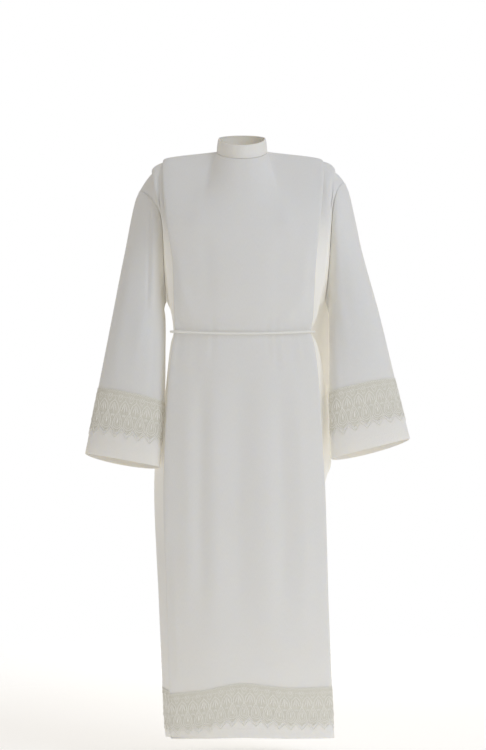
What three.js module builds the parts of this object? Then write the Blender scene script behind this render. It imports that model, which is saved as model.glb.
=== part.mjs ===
// An alb, the long white robe of a server or priest, as it hangs on a wearer with both arms down.
// Millimetres, +Z up, +X to the viewer's right, the front faces -Y. The origin lies at the base of
// the neck, midway between the shoulders that hold the garment up.
import * as THREE from "three";

// Driving dimensions.
const CLOTH = 1.6; // wall of the robe's cloth
const COLLAR_CLOTH = 2.2; // the collar is two layers with a stiffener
const LACE_CLOTH = 1.0;
const SEAM = 0.3; // gap between two pieces that are sewn together
const LACE_GAP = 0.5; // gap between a lace band and the cloth under it
const CORD = 6; // diameter of the waist cord
const NECK = { halfWidth: 62, front: -73, back: 62, sideZ: -3, frontZ: -33, backZ: 8 };
const COLLAR_HEIGHT = 33;
const COLLAR_LEAN = 4; // how far the collar's top leans in
const COLLAR_SLIT = 0.6; // its two ends meet at the left shoulder seam
const CHEST_Z = -200; // where the shoulders end and level sections begin
const UNDERARM_Z = -368;
const WAIST_Z = -446;
const HEM_Z = -1416; // the hem at the centre front
const HEM_SWING_Z = -900; // below this the hem's own wave sets in
const LACE_TOP = 134; // the lace band's upper edge above the hem
const LACE_NOTCH = 50; // the notches between its points above the hem
const LACE_TIP = 33; // the points themselves above the hem
const LACE_REPEAT = 28;
const NOTCH_RISE = 0.88; // how far a notch rises from the line of the points to the notch line
const NEAR_COLUMN = 2.5; // a point or notch this near a column of the cloth uses that column
const SLIT = { half: 32, open: 9 }; // side slit that the cord goes in by
const LEFT = -1;
const RIGHT = 1;

const point = (x, y, z) => new THREE.Vector3(x, y, z);
const mix = (a, b, t) => a + (b - a) * t;
const between = (p, q, t) => p.clone().lerp(q, t);

// A table's rows as objects that hold one value for each named column.
function table(columns, rows) {
  const names = columns.split(" ");
  return rows.map((row) => Object.fromEntries(names.map((name, k) => [name, row[k]])));
}

// Half-widths of the front at each height, with the depth of its pleat. The flat middle ends at the
// edge of the pleat, which laps over the tuck behind it. The ridge is the fold beside the side seam.
const FRONT = table("z middle foldL foldR foldY tuck step ridgeL ridgeR ridgeY", [
  [-200, -126, 181, 191, -99, 14, 6, 190, 212, -72],
  [-290, -129, 174, 183, -99, 12, 6, 185, 205, -64],
  [-368, -125, 170, 178, -92, 12, 6, 178, 190, -58],
  [-410, -119, 168, 175, -85, 11, 6, 170, 180, -54],
  [-446, -113, 165, 167, -78, 9, 5, 166, 169, -54],
  [-475, -116, 170, 175, -84, 8, 6, 171, 181, -52],
  [-540, -124, 176, 183, -93, 6, 7, 180, 196, -42],
  [-620, -131, 181, 189, -99, 5, 8, 190, 208, -28],
  [-770, -139, 188, 197, -104, 4, 8, 213, 214, -8],
  [-825, -142, 189, 200, -106, 4, 8, 215, 202, -6],
  [-1100, -152, 181, 208, -112, 5, 9, 203, 203, -8],
  [-1416, -166, 170, 221, -122, 7, 11, 187, 216, -12],
]);

const BACK = table("z middle foldL foldR foldY tuck step ridgeL ridgeR ridgeY", [
  [-200, 116, 178, 182, 98, 14, 6, 196, 214, 88],
  [-290, 128, 176, 186, 108, 12, 6, 190, 218, 76],
  [-368, 133, 174, 190, 110, 11, 6, 182, 220, 56],
  [-410, 137, 168, 192, 112, 10, 6, 172, 222, 46],
  [-446, 139, 165, 193, 112, 9, 6, 166, 222, 44],
  [-475, 141, 168, 194, 113, 8, 6, 170, 222, 44],
  [-540, 145, 174, 195, 115, 7, 7, 182, 222, 46],
  [-620, 150, 180, 195, 118, 6, 8, 194, 222, 50],
  [-770, 158, 188, 194, 124, 6, 9, 214, 220, 56],
  [-825, 161, 190, 188, 126, 6, 9, 216, 202, 58],
  [-1100, 174, 184, 190, 134, 7, 10, 205, 202, 62],
  [-1416, 190, 176, 204, 144, 9, 12, 190, 214, 66],
]);

// The side seam, and above the underarm the two edges of the armhole: y is the front's edge.
const SIDE = table("z left right y backY", [
  [-200, 193, 217, -46, 72],
  [-290, 190, 212, -36, 48],
  [-368, 184, 203, -12, -12],
  [-410, 164, 170, -22, -22],
  [-446, 150, 152, -28, -28],
  [-475, 158, 162, -20, -20],
  [-540, 172, 178, -4, -4],
  [-620, 184, 190, 10, 10],
  [-770, 206, 202, 22, 22],
  [-825, 209, 192, 24, 24],
  [-1100, 196, 192, 26, 26],
  [-1416, 180, 204, 28, 28],
]);

// How far the lace's line and the hem hang below their height at the centre front.
const MARKS = "middle halfL halfR foldL foldR ridgeL ridgeR seamL seamR";
const HANG = {
  front: table(MARKS, [
    [0, 16, 15, 33, 17, 32, 19, 30, 20],
    [0, 3, 3, 8, 6, 8, 6, 8, 6],
  ]),
  back: table(MARKS, [
    [20, 22, 20, 26, 20, 28, 20, 30, 20],
    [6, 6, 6, 7, 6, 8, 6, 8, 6],
  ]),
};

// The shoulder seam from the neck out: the pleat's edge, the ridge of the second fold, the tip.
const SHOULDER = {
  depth: 8,
  fold: [197, -22],
  tuck: 16,
  step: 5,
  ridge: [222, -42],
  rise: 0.2, // how fast the tuck's line climbs back towards the neck
  tipL: [250, -98],
  tipR: [251, -80],
};

// Columns of cloth between the neighbouring marks of half a panel: the middle, a mark half-way, the
// pleat's edge, its back, its tuck, the tuck's back, the ridge, the side seam.
const STRIPS = [5, 2, 1, 1, 1, 2, 3];
const HALF = { across: 0.52, inward: 0.2 }; // the mark between the middle and the first pleat
const YOKE_ROWS = [0, 0.1, 0.24, 0.4, 0.58, 0.78];
const BODY_ROWS = [
  CHEST_Z, -245, -290, -330, UNDERARM_Z, -390, -415, -433, WAIST_Z, -459, -480, -520, -580,
  -660, -740, -790, -850, -960, -1080, -1200,
  HEM_Z + LACE_TOP, HEM_Z + LACE_NOTCH, HEM_Z + LACE_TIP, HEM_Z,
];
const YOKE_PULL = 60; // how far up the slope of the chest steers the shoulders
const SLOPE_STEP = 15; // the height over which that slope is measured
const ARMHOLE_ROWS = YOKE_ROWS.length + BODY_ROWS.indexOf(UNDERARM_Z);

// Reads a column at any height, smoothly and without overshooting the table's own values.
function reader(rows, column) {
  const height = rows.map((row) => row.z);
  const value = rows.map((row) => row[column]);
  const slope = height.slice(1).map((z, k) => (value[k + 1] - value[k]) / (z - height[k]));
  const tangent = value.map((_, k) => {
    const before = slope[Math.max(k - 1, 0)];
    const after = slope[Math.min(k, slope.length - 1)];
    return before * after <= 0 ? 0 : (2 * before * after) / (before + after);
  });
  return (z) => {
    let k = 0;
    while (k < slope.length - 1 && z < height[k + 1]) k += 1;
    const span = height[k + 1] - height[k];
    const t = (z - height[k]) / span;
    const eased = t * t * (3 - 2 * t);
    const curve = t * (1 - t) * span * (tangent[k] * (1 - t) - tangent[k + 1] * t);
    return mix(value[k], value[k + 1], eased) + curve;
  };
}

function readers(rows) {
  const names = Object.keys(rows[0]).filter((name) => name !== "z");
  return Object.fromEntries(names.map((name) => [name, reader(rows, name)]));
}

const readSide = readers(SIDE);
const PANELS = {
  front: { read: readers(FRONT), inward: 1, hang: HANG.front },
  back: { read: readers(BACK), inward: -1, hang: HANG.back },
};

// The side slit opens round the cord and is a plain seam above and below it.
function seamGap(z) {
  const away = (z - WAIST_Z) / SLIT.half;
  return SEAM / 2 + SLIT.open * Math.max(0, 1 - away * away) ** 2;
}

// The marks of half a panel at one height, from its middle to the side seam.
function marks(panel, side, z) {
  const { read, inward, hang } = PANELS[panel];
  const hand = side === LEFT ? "L" : "R";
  const [lace, hem] = hang;
  const swing = THREE.MathUtils.smoothstep(-z, -HEM_SWING_Z, -HEM_Z - LACE_TOP);
  const height = (mark) => z - (z === HEM_Z ? hem[mark] : swing * lace[mark]);
  const seamY = panel === "back" && z > UNDERARM_Z ? readSide.backY(z) : readSide.y(z);
  const seamX = side * readSide[side === LEFT ? "left" : "right"](z);
  const fold = read["fold" + hand](z);
  const foldY = read.foldY(z);
  const foldZ = height("fold" + hand);
  const tuck = fold - read.tuck(z);
  const step = read.step(z) * inward;
  const middle = read.middle(z);
  const halfY = mix(middle, foldY, HALF.inward);
  return [
    point(0, middle, height("middle")),
    point(side * fold * HALF.across, halfY, height("half" + hand)),
    point(side * fold, foldY, foldZ),
    point(side * (fold - 1), foldY + step * 0.9, foldZ),
    point(side * tuck, foldY + step, foldZ),
    point(side * tuck, foldY + step * 2, foldZ),
    point(side * read["ridge" + hand](z), read.ridgeY(z), height("ridge" + hand)),
    point(seamX, seamY, height("seam" + hand)),
  ];
}

// The same marks on the shoulder seam, where both panels end. The first is the side of the neck.
function shoulderMarks(side, inward) {
  const { depth, fold, tuck, step, ridge, rise } = SHOULDER;
  const tip = side === LEFT ? SHOULDER.tipL : SHOULDER.tipR;
  const y = depth - (inward * SEAM) / 2;
  const neck = neckPoint(Math.PI / 2, side);
  return [
    point(neck.x, y, neck.z),
    point(side * fold[0], y, fold[1]),
    point(side * (fold[0] - 1), y, fold[1] - step * 0.9),
    point(side * (fold[0] - tuck), y, fold[1] + tuck * rise - step),
    point(side * (fold[0] - tuck), y, fold[1] + tuck * rise - step * 2),
    point(side * ridge[0], y, ridge[1]),
    point(side * tip[0], y, tip[1]),
  ];
}

// The neckline, at an angle from the centre front round to the back.
function neckPoint(angle, side) {
  const share = Math.abs(Math.cos(angle));
  const [y, z] = angle < Math.PI / 2 ? [NECK.front, NECK.frontZ] : [NECK.back, NECK.backZ];
  const x = side * NECK.halfWidth * Math.sin(angle);
  return point(x, mix(SHOULDER.depth, y, share), mix(NECK.sideZ, z, share));
}

// Points along a smooth line through marks, with a set number of steps between two marks. The
// marks before the first and after the last only steer the line.
function along(marksOfLine, strips, before = [], after = []) {
  const all = [...before, ...marksOfLine, ...after];
  const line = new THREE.CatmullRomCurve3(all, false, "centripetal");
  const spans = all.length - 1;
  const points = [marksOfLine[0].clone()];
  strips.forEach((steps, k) => {
    for (let s = 1; s <= steps; s += 1) {
      points.push(line.getPoint((before.length + k + s / steps) / spans));
    }
  });
  return points;
}

// One row of half a panel. It runs on smoothly over the middle and the side seam.
function bodyRow(panel, side, z) {
  const row = marks(panel, side, z);
  const mirrored = row[1].clone().multiply(point(-1, 1, 1));
  const next = marks(panel === "front" ? "back" : "front", side, z)[6];
  const points = along(row, STRIPS, [mirrored], [next]);
  const [last, seam] = points.slice(-2);
  seam.lerp(last, seamGap(z) / seam.distanceTo(last));
  return points;
}

// The top edge of half a panel: the neckline, then the shoulder seam.
function topEdge(panel, side) {
  const { inward } = PANELS[panel];
  const steps = STRIPS[0];
  const neck = [];
  for (let s = 0; s < steps; s += 1) {
    const turn = (Math.PI / 2) * (s / steps);
    neck.push(neckPoint(inward > 0 ? turn : Math.PI - turn, side));
  }
  return [...neck, ...along(shoulderMarks(side, inward), STRIPS.slice(1))];
}

// How the cloth leaves the top edge: down and out at the neck, more level over the shoulder, and
// towards the body at the tip, where the armhole seam turns in.
const LEAVE = {
  out: { middle: 22, neckSide: 42, tip: 30 },
  drop: { middle: 26, front: 18, back: 2, shoulder: 6, tip: 11 },
  sideways: { neckSide: 8, tip: -24 },
  turn: 5, // columns beside the tip over which the cloth turns in
};

function leaving(panel, side, column) {
  const { inward } = PANELS[panel];
  const { out, drop, sideways, turn } = LEAVE;
  const neckSteps = STRIPS[0];
  if (column < neckSteps) {
    const share = column / neckSteps;
    const away = mix(out.middle, out.neckSide, share);
    const fall = mix(drop.middle, drop[panel], share);
    return point(side * sideways.neckSide * share, -inward * away, -fall);
  }
  const last = STRIPS.reduce((a, b) => a + b);
  const share = (column - neckSteps) / (last - neckSteps);
  const tip = Math.max(0, (column - (last - turn)) / turn);
  const x = sideways.neckSide * (1 - share) + sideways.tip * tip * tip;
  const fall = mix(drop[panel], drop.shoulder, Math.min(1, share * 2));
  const z = -mix(fall, drop.tip, tip);
  return point(side * x, -inward * mix(out.neckSide, out.tip, tip), z);
}

// Rows of points of half a panel, from the top edge to the hem.
function halfPanel(panel, side) {
  const body = BODY_ROWS.map((z) => bodyRow(panel, side, z));
  const below = bodyRow(panel, side, CHEST_Z - SLOPE_STEP);
  const yoke = topEdge(panel, side).map((top, column) => {
    const chest = body[0][column];
    const arrive = chest.clone().sub(below[column]).multiplyScalar(YOKE_PULL / SLOPE_STEP);
    const start = top.clone().add(leaving(panel, side, column));
    const curve = new THREE.CubicBezierCurve3(top, start, chest.clone().add(arrive), chest);
    return YOKE_ROWS.map((t) => curve.getPoint(t));
  });
  return [...YOKE_ROWS.map((_, row) => yoke.map((column) => column[row])), ...body];
}

// A whole panel, its columns running so that rows down cross columns along face outwards.
function panelPoints(panel) {
  const left = halfPanel(panel, LEFT);
  const right = halfPanel(panel, RIGHT);
  const [first, second] = panel === "front" ? [left, right] : [right, left];
  return first.map((row, i) => [...row.slice(1).reverse(), ...second[i]]);
}

// The outward direction at every point of a grid of rows. A round grid joins its last column to
// its first.
function outwards(points, round = false) {
  const rows = points.length;
  const columns = points[0].length;
  return points.map((row, i) =>
    row.map((_, j) => {
      const up = points[Math.max(i - 1, 0)][j];
      const down = points[Math.min(i + 1, rows - 1)][j];
      const before = round ? (j + columns - 1) % columns : Math.max(j - 1, 0);
      const after = round ? (j + 1) % columns : Math.min(j + 1, columns - 1);
      const across = row[after].clone().sub(row[before]);
      return down.clone().sub(up).cross(across).normalize();
    }),
  );
}

// Gives the same direction to points that meet at a seam, so that their edges lie face to face.
function agree(...directions) {
  const shared = directions.reduce((sum, d) => sum.add(d), point(0, 0, 0)).normalize();
  directions.forEach((d) => d.copy(shared));
}

// A closed wall of cloth from its outer points and the outward direction at each of them.
function clothWall(points, out, wall, round = false) {
  const rows = points.length;
  const columns = points[0].length;
  const position = [];
  for (const depth of [0, wall]) {
    points.forEach((row, i) =>
      row.forEach((p, j) => position.push(...p.clone().addScaledVector(out[i][j], -depth))),
    );
  }
  const OUTER = 0;
  const INNER = 1;
  const at = (face, i, j) => (face * rows + i) * columns + (j % columns);
  const index = [];
  const quad = (a, b, c, d) => index.push(a, b, c, a, c, d);
  const last = round ? columns : columns - 1;
  for (let j = 0; j < last; j += 1) {
    for (let i = 0; i < rows - 1; i += 1) {
      quad(at(OUTER, i, j), at(OUTER, i + 1, j), at(OUTER, i + 1, j + 1), at(OUTER, i, j + 1));
      quad(at(INNER, i, j), at(INNER, i, j + 1), at(INNER, i + 1, j + 1), at(INNER, i + 1, j));
    }
    const end = rows - 1;
    quad(at(OUTER, 0, j), at(OUTER, 0, j + 1), at(INNER, 0, j + 1), at(INNER, 0, j));
    quad(at(OUTER, end, j + 1), at(OUTER, end, j), at(INNER, end, j), at(INNER, end, j + 1));
  }
  for (let i = 0; i < rows - 1 && !round; i += 1) {
    const end = columns - 1;
    quad(at(OUTER, i, 0), at(INNER, i, 0), at(INNER, i + 1, 0), at(OUTER, i + 1, 0));
    quad(at(OUTER, i + 1, end), at(INNER, i + 1, end), at(INNER, i, end), at(OUTER, i, end));
  }
  const geometry = new THREE.BufferGeometry();
  geometry.setAttribute("position", new THREE.Float32BufferAttribute(position, 3));
  geometry.setIndex(index);
  geometry.computeVertexNormals();
  return geometry;
}

// Where the columns of a lace band fall: on every column of the cloth, and at each point and
// notch of the lace. reach is 1 at a notch and 0 at a point.
function laceColumns(row, round) {
  const ring = round ? [...row, row[0]] : row;
  const length = [0];
  ring.slice(1).forEach((p, k) => length.push(length[k] + p.distanceTo(ring[k])));
  const total = length[length.length - 1];
  const repeats = Math.round(total / LACE_REPEAT);
  const half = total / repeats / 2;
  const stops = length.slice();
  for (let k = 0; k <= repeats * 2; k += 1) {
    const wanted = k * half;
    if (length.every((l) => Math.abs(l - wanted) > NEAR_COLUMN)) stops.push(wanted);
  }
  stops.sort((a, b) => a - b);
  if (round) stops.pop();
  return stops.map((stop) => {
    const column = Math.min(length.findLastIndex((l) => l <= stop + 1e-6), ring.length - 2);
    const share = (stop - length[column]) / (length[column + 1] - length[column]);
    const phase = (stop / half) % 2;
    return { column, share, reach: Math.abs(1 - phase) };
  });
}

// A lace band with a pointed lower edge, made from the cloth's own points and moved out.
function laceBand(rows, out, wall, round = false) {
  const read = (grid, i, { column, share }) =>
    between(grid[i][column], grid[i][(column + 1) % grid[i].length], share);
  const [TOP, NOTCH, TIP] = [0, 1, 2];
  const columns = laceColumns(rows[NOTCH], round);
  const lower = (grid, c) => between(read(grid, TIP, c), read(grid, NOTCH, c), c.reach * NOTCH_RISE);
  const pick = (grid) => [
    columns.map((c) => read(grid, TOP, c)),
    columns.map((c) => read(grid, NOTCH, c)),
    columns.map((c) => lower(grid, c)),
  ];
  const directions = pick(out).map((row) => row.map((d) => d.normalize()));
  const points = pick(rows).map((row, i) =>
    row.map((p, j) => p.addScaledVector(directions[i][j], LACE_GAP + wall)),
  );
  return clothWall(points, directions, wall, round);
}

// The sleeve's rings below the armhole: its inner and outer corner, and how far the cloth bows
// forward and back between them.
const SLEEVE_RINGS = {
  [LEFT]: table("innerX innerY innerZ outerX outerY outerZ bowFront bowBack", [
    [-190, -22, -408, -291, -2, -272, 54, 62],
    [-190, -44, -505, -317, -20, -410, 44, 50],
    [-191, -66, -618, -350, -42, -584, 38, 42],
    [-203, -86, -773, -380, -66, -741, 34, 44],
  ]),
  [RIGHT]: table("innerX innerY innerZ outerX outerY outerZ bowFront bowBack", [
    [212, -24, -408, 297, -2, -262, 52, 54],
    [212, -46, -500, 334, -20, -398, 44, 46],
    [211, -68, -594, 372, -42, -560, 38, 42],
    [215, -88, -753, 407, -66, -705, 36, 46],
  ]),
};
const CUFF_LACE = { notch: 0.59, tip: 0.7 }; // shares of the way down to the sleeve's hem
const SLEEVE_STEPS = [1, 3, 3, 3];
const SLEEVE_LEAD = 24; // how far the cloth runs straight out of the armhole
const BACK_DROP = 10; // the back of each ring hangs lower than its front

function ringPoint(ring, side, angle) {
  const share = (1 - Math.cos(angle)) / 2;
  const bow = Math.sin(angle) > 0 ? -ring.bowFront : -ring.bowBack;
  const x = mix(ring.innerX, ring.outerX, share);
  const y = mix(ring.innerY, ring.outerY, share) + bow * Math.sin(angle);
  return point(x, y, mix(ring.innerZ, ring.outerZ, share) + BACK_DROP * Math.sin(angle));
}

// The way that the sleeve's cloth leaves the armhole: out below the arm, forward in front of it.
function sleeveStart(side, angle) {
  const below = (1 + Math.cos(angle)) / 2;
  const forward = -Math.sin(angle) * 0.45;
  return point(side * mix(0.42, 0.85, below), forward, mix(-0.9, -0.45, below)).normalize();
}

// Both edges of one armhole from the underarm up: the front's and the back's, as places in grids.
function armholeLoop(grids, side) {
  const last = grids.front.points[0].length - 1;
  const loop = [];
  const add = (panel, row) => {
    const first = (panel === "front") === (side === LEFT);
    loop.push({ panel, row, column: first ? 0 : last });
  };
  for (let row = ARMHOLE_ROWS; row >= 0; row -= 1) add("front", row);
  for (let row = 1; row < ARMHOLE_ROWS; row += 1) add("back", row);
  return loop;
}

function sleeveGrid(grids, side) {
  const loop = armholeLoop(grids, side);
  const columns = loop.map(({ panel, row, column }, k) => {
    const angle = (2 * Math.PI * k) / loop.length;
    const edge = grids[panel].points[row][column];
    const start = sleeveStart(side, angle);
    const marksOfLine = [
      edge.clone().addScaledVector(start, SEAM),
      edge.clone().addScaledVector(start, SLEEVE_LEAD),
      ...SLEEVE_RINGS[side].map((ring) => ringPoint(ring, side, angle)),
    ];
    const points = along(marksOfLine, [...SLEEVE_STEPS, 1]);
    const hem = points.pop();
    const laceTop = points[points.length - 1];
    return [
      ...points,
      between(laceTop, hem, CUFF_LACE.notch),
      between(laceTop, hem, CUFF_LACE.tip),
      hem,
    ];
  });
  const rows = columns[0].map((_, i) => columns.map((column) => column[i]));
  if (side === LEFT) rows.forEach((row) => row.reverse());
  const order = side === LEFT ? loop.slice().reverse() : loop;
  return { points: rows, out: outwards(rows, true), order };
}

function collarGrid() {
  const steps = STRIPS[0];
  const quarter = Math.PI / 2;
  const turns = [];
  for (let s = 0; s <= steps * 4; s += 1) turns.push((quarter * s) / steps);
  const foot = turns.map((turn) => {
    const fromFront = Math.abs(turn - quarter);
    const side = turn < quarter || turn > 3 * quarter ? LEFT : RIGHT;
    const angle = fromFront > 2 * quarter ? 4 * quarter - fromFront : fromFront;
    return neckPoint(angle, side).add(point(0, 0, SEAM));
  });
  foot[0].y -= COLLAR_SLIT / 2;
  foot[foot.length - 1].y += COLLAR_SLIT / 2;
  const top = foot.map((p) => {
    const inward = point(-p.x, SHOULDER.depth - p.y, 0).normalize();
    return p.clone().addScaledVector(inward, COLLAR_LEAN).add(point(0, 0, COLLAR_HEIGHT));
  });
  top[0].y = foot[0].y;
  top[top.length - 1].y = foot[foot.length - 1].y;
  const points = [top, top.map((p, k) => between(p, foot[k], 0.5)), foot];
  const out = outwards(points);
  out.forEach((row) => {
    for (const end of [row[0], row[row.length - 1]]) end.setY(0).normalize();
  });
  return { points, out };
}

// The cord lies on the front, turns in round both folds, goes through the side slits and runs on
// inside the back. The numbers are half of its route, from the middle of the front to the back.
const CORD_ROUTE = table("left right y", [
  [0, 0, -118], [86, 87, -111], [130, 132, -101], [158, 160, -89], [169, 171, -80],
  [172, 175, -66], [171, 174, -52], [161, 163, -36], [148, 150, -24], [136, 138, -2],
  [136, 138, 44], [130, 132, 88], [80, 81, 114], [0, 0, 122],
]);

function cordRoute() {
  const right = CORD_ROUTE.map((row) => point(row.right, row.y, WAIST_Z));
  const left = CORD_ROUTE.map((row) => point(-row.left, row.y, WAIST_Z));
  return [...right, ...left.slice(1, -1).reverse()];
}

const WHITE = { color: 0xe9e7e2, roughness: 0.85, metalness: 0 };
const IVORY = { color: 0xe2dfcd, roughness: 0.7, metalness: 0 };
const alb = new THREE.Group();

function addPiece(name, geometry, finish) {
  const mesh = new THREE.Mesh(geometry, new THREE.MeshStandardMaterial(finish));
  mesh.name = name;
  alb.add(mesh);
}

const grids = {};
for (const panel of ["front", "back"]) {
  const points = panelPoints(panel);
  grids[panel] = { points, out: outwards(points) };
}
const sleeves = { [LEFT]: sleeveGrid(grids, LEFT), [RIGHT]: sleeveGrid(grids, RIGHT) };

// Shoulder seams, side seams and armholes share their directions.
const lastColumn = grids.front.points[0].length - 1;
const shoulderColumns = STRIPS.slice(1).reduce((a, b) => a + b);
for (let j = 0; j <= shoulderColumns; j += 1) {
  for (const column of [j, lastColumn - j]) {
    agree(grids.front.out[0][column], grids.back.out[0][lastColumn - column]);
  }
}
for (let i = ARMHOLE_ROWS + 1; i < grids.front.points.length; i += 1) {
  agree(grids.front.out[i][0], grids.back.out[i][lastColumn]);
  agree(grids.front.out[i][lastColumn], grids.back.out[i][0]);
}
for (const side of [LEFT, RIGHT]) {
  const { out, order } = sleeves[side];
  order.forEach(({ panel, row, column }, k) => {
    const meeting = [out[0][k], grids[panel].out[row][column]];
    const shared = row === 0 || row === ARMHOLE_ROWS;
    if (shared) meeting.push(grids.back.out[row][lastColumn - column]);
    agree(...meeting);
  });
}

addPiece("body_front", clothWall(grids.front.points, grids.front.out, CLOTH), WHITE);
addPiece("body_back", clothWall(grids.back.points, grids.back.out, CLOTH), WHITE);
const collar = collarGrid();
addPiece("collar", clothWall(collar.points, collar.out, COLLAR_CLOTH), WHITE);
const sides = [[LEFT, "left"], [RIGHT, "right"]];
for (const [side, word] of sides) {
  const { points, out } = sleeves[side];
  addPiece("sleeve_" + word, clothWall(points, out, CLOTH, true), WHITE);
  const end = points.length - 1;
  const laceRows = (grid) => grid.slice(end - 3, end);
  addPiece("lace_cuff_" + word, laceBand(laceRows(points), laceRows(out), LACE_CLOTH, true), IVORY);
}
for (const panel of ["front", "back"]) {
  const { points, out } = grids[panel];
  const end = points.length - 1;
  const laceRows = (grid) => grid.slice(end - 3, end);
  addPiece("lace_hem_" + panel, laceBand(laceRows(points), laceRows(out), LACE_CLOTH), IVORY);
}
const cordLine = new THREE.CatmullRomCurve3(cordRoute(), true, "centripetal");
addPiece("waist_cord", new THREE.TubeGeometry(cordLine, 64, CORD / 2, 8, true), WHITE);

export default alb;
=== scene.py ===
# %% [markdown]
# A white alb, the long robe of a server or priest, as it hangs when it is worn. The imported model
# holds every piece as a plain solid. This lesson dresses it: each panel of cloth is made again as a
# smooth sheet with its folds, the lace gets its threads, and the cord its strands. The solids could
# be reshaped for that, but they stay as they are, because they say where everything has to lie.

import math

import bpy
import numpy as np
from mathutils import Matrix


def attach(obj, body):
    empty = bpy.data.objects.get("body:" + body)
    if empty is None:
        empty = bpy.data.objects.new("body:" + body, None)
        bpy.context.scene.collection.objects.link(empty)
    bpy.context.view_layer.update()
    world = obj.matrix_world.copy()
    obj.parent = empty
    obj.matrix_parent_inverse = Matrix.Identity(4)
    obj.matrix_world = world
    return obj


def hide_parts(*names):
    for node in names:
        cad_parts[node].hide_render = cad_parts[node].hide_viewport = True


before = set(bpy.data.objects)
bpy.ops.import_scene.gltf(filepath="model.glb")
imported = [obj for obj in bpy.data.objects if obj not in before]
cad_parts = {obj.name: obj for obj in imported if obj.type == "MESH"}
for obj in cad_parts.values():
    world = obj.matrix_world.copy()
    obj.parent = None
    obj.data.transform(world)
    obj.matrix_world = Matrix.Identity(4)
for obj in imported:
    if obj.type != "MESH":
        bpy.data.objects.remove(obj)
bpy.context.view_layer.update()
bpy.ops.object.select_all(action="DESELECT")
MM = 0.001  # the shapes below are worked out in millimetres
print("nodes:", sorted(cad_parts))

# %% [markdown]
# The camera comes first, because everything is judged through it. The photograph looks at the
# front at right angles from far away, so its perspective is mild. The lens could be found by eye,
# but it is worked out: from 6 m away, on a level just below the waist, a millimetre of cloth has to
# cover 1 / 2.45 of a pixel.

# %% Camera
PHOTO_HEIGHT = 750  # pixels
MM_PER_PIXEL = 2.45
DISTANCE = 6.0
SENSOR = 36.0
VIEW_X, VIEW_Z = 0.00245, -0.551  # the point of the garment in the middle of the photograph

bpy.ops.object.camera_add(location=(VIEW_X, -DISTANCE, VIEW_Z), rotation=(math.pi / 2, 0, 0))
camera = bpy.context.object
camera.data.sensor_width = SENSOR
camera.data.lens = SENSOR * DISTANCE / (PHOTO_HEIGHT * MM_PER_PIXEL * MM)
camera.data.clip_end = 10 * DISTANCE
bpy.context.scene.camera = camera
print("lens", round(camera.data.lens, 1), "mm")

# %% [markdown]
# Cloth is cut flat and sewn, and its shape then comes from where it is held. It could be cut out
# here too and dropped by the cloth simulation, but that would lose the folds of the photograph. So
# each panel is described as a maker sees it: how wide and how deep it hangs at each height, and
# where its two pleats lie. Smooth lines through those marks give the sheet.

# %% Driving sizes, in millimetres
CLOTH = 1.3  # thickness of the woven cloth as it is drawn
COLLAR_CLOTH = 2.2
SEAM = 0.3  # what two pieces keep between them where they are sewn together
NECK_HALF, NECK_FRONT, NECK_BACK = 62, -73, 62
NECK_SIDE_Z, NECK_FRONT_Z, NECK_BACK_Z = -3, -27, 8
COLLAR_HEIGHT, COLLAR_LEAN, COLLAR_SLIT = 33, 4, 0.6
CHEST_Z, UNDERARM_Z, WAIST_Z, HEM_Z = -200, -368, -446, -1416
HEM_SWING_Z = -900  # from here down the cloth hangs lower than its level rows
LACE_TOP, LACE_TIP = 134, 33  # the lace above the hem: its upper edge and its points
LACE_HEIGHT = LACE_TOP - LACE_TIP
LACE_REPEAT = 28
SLIT_HALF, SLIT_OPEN = 32, 9  # the slit in the side seam that the cord goes through
LEFT, RIGHT = -1, 1

# %% The marks of the two panels
# fold and ridge are the edges of the two pleats: their x to the left and to the right, their y, how
# far the tuck goes in behind them, and the step that the cloth makes there.
PANEL_COLUMNS = "z middle foldL foldR foldY tuck step ridgeL ridgeR ridgeY ridgeTuck ridgeStep"
FRONT = [
    [-200, -126, 179, 186, -99, 14, 6, 192, 212, -72, 3, 2.5],
    [-290, -129, 167, 178, -97, 12, 6, 185, 205, -64, 2, 2],
    [-368, -125, 165, 174, -90, 12, 6, 178, 190, -56, 2, 2],
    [-410, -119, 164, 172, -84, 11, 6, 170, 182, -54, 2, 2],
    [-446, -113, 163, 167, -78, 9, 5, 166, 168, -54, 2, 2],
    [-475, -116, 168, 174, -84, 8, 6, 173, 182, -52, 4, 4.5],
    [-540, -124, 175, 183, -93, 6, 7, 181, 196, -42, 4, 4.5],
    [-620, -131, 181, 189, -99, 5, 8, 190, 208, -28, 4, 4.5],
    [-770, -139, 188, 197, -104, 4, 8, 213, 214, -8, 4, 4.5],
    [-825, -142, 189, 200, -106, 4, 8, 215, 202, -6, 4, 4.5],
    [-1100, -152, 181, 208, -112, 5, 9, 203, 203, -8, 5, 4.5],
    [-1416, -166, 170, 221, -122, 7, 11, 187, 216, -12, 6, 4.5],
]
BACK = [
    [-200, 116, 178, 182, 98, 14, 6, 196, 214, 88, 8, 4.5],
    [-290, 128, 176, 186, 108, 12, 6, 190, 218, 76, 6, 4.5],
    [-368, 133, 174, 190, 110, 11, 6, 182, 220, 56, 4, 4.5],
    [-410, 137, 168, 192, 112, 10, 6, 172, 222, 46, 4, 4.5],
    [-446, 139, 165, 193, 112, 9, 6, 166, 222, 44, 4, 4.5],
    [-475, 141, 168, 194, 113, 8, 6, 172, 222, 44, 4, 4.5],
    [-540, 145, 174, 195, 115, 7, 7, 182, 222, 46, 4, 4.5],
    [-620, 150, 180, 195, 118, 6, 8, 194, 222, 50, 4, 4.5],
    [-770, 158, 188, 194, 124, 6, 9, 214, 220, 56, 4, 4.5],
    [-825, 161, 190, 188, 126, 6, 9, 216, 202, 58, 4, 4.5],
    [-1100, 174, 184, 190, 134, 7, 10, 205, 202, 62, 5, 4.5],
    [-1416, 190, 176, 204, 144, 9, 12, 190, 214, 66, 6, 4.5],
]
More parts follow.
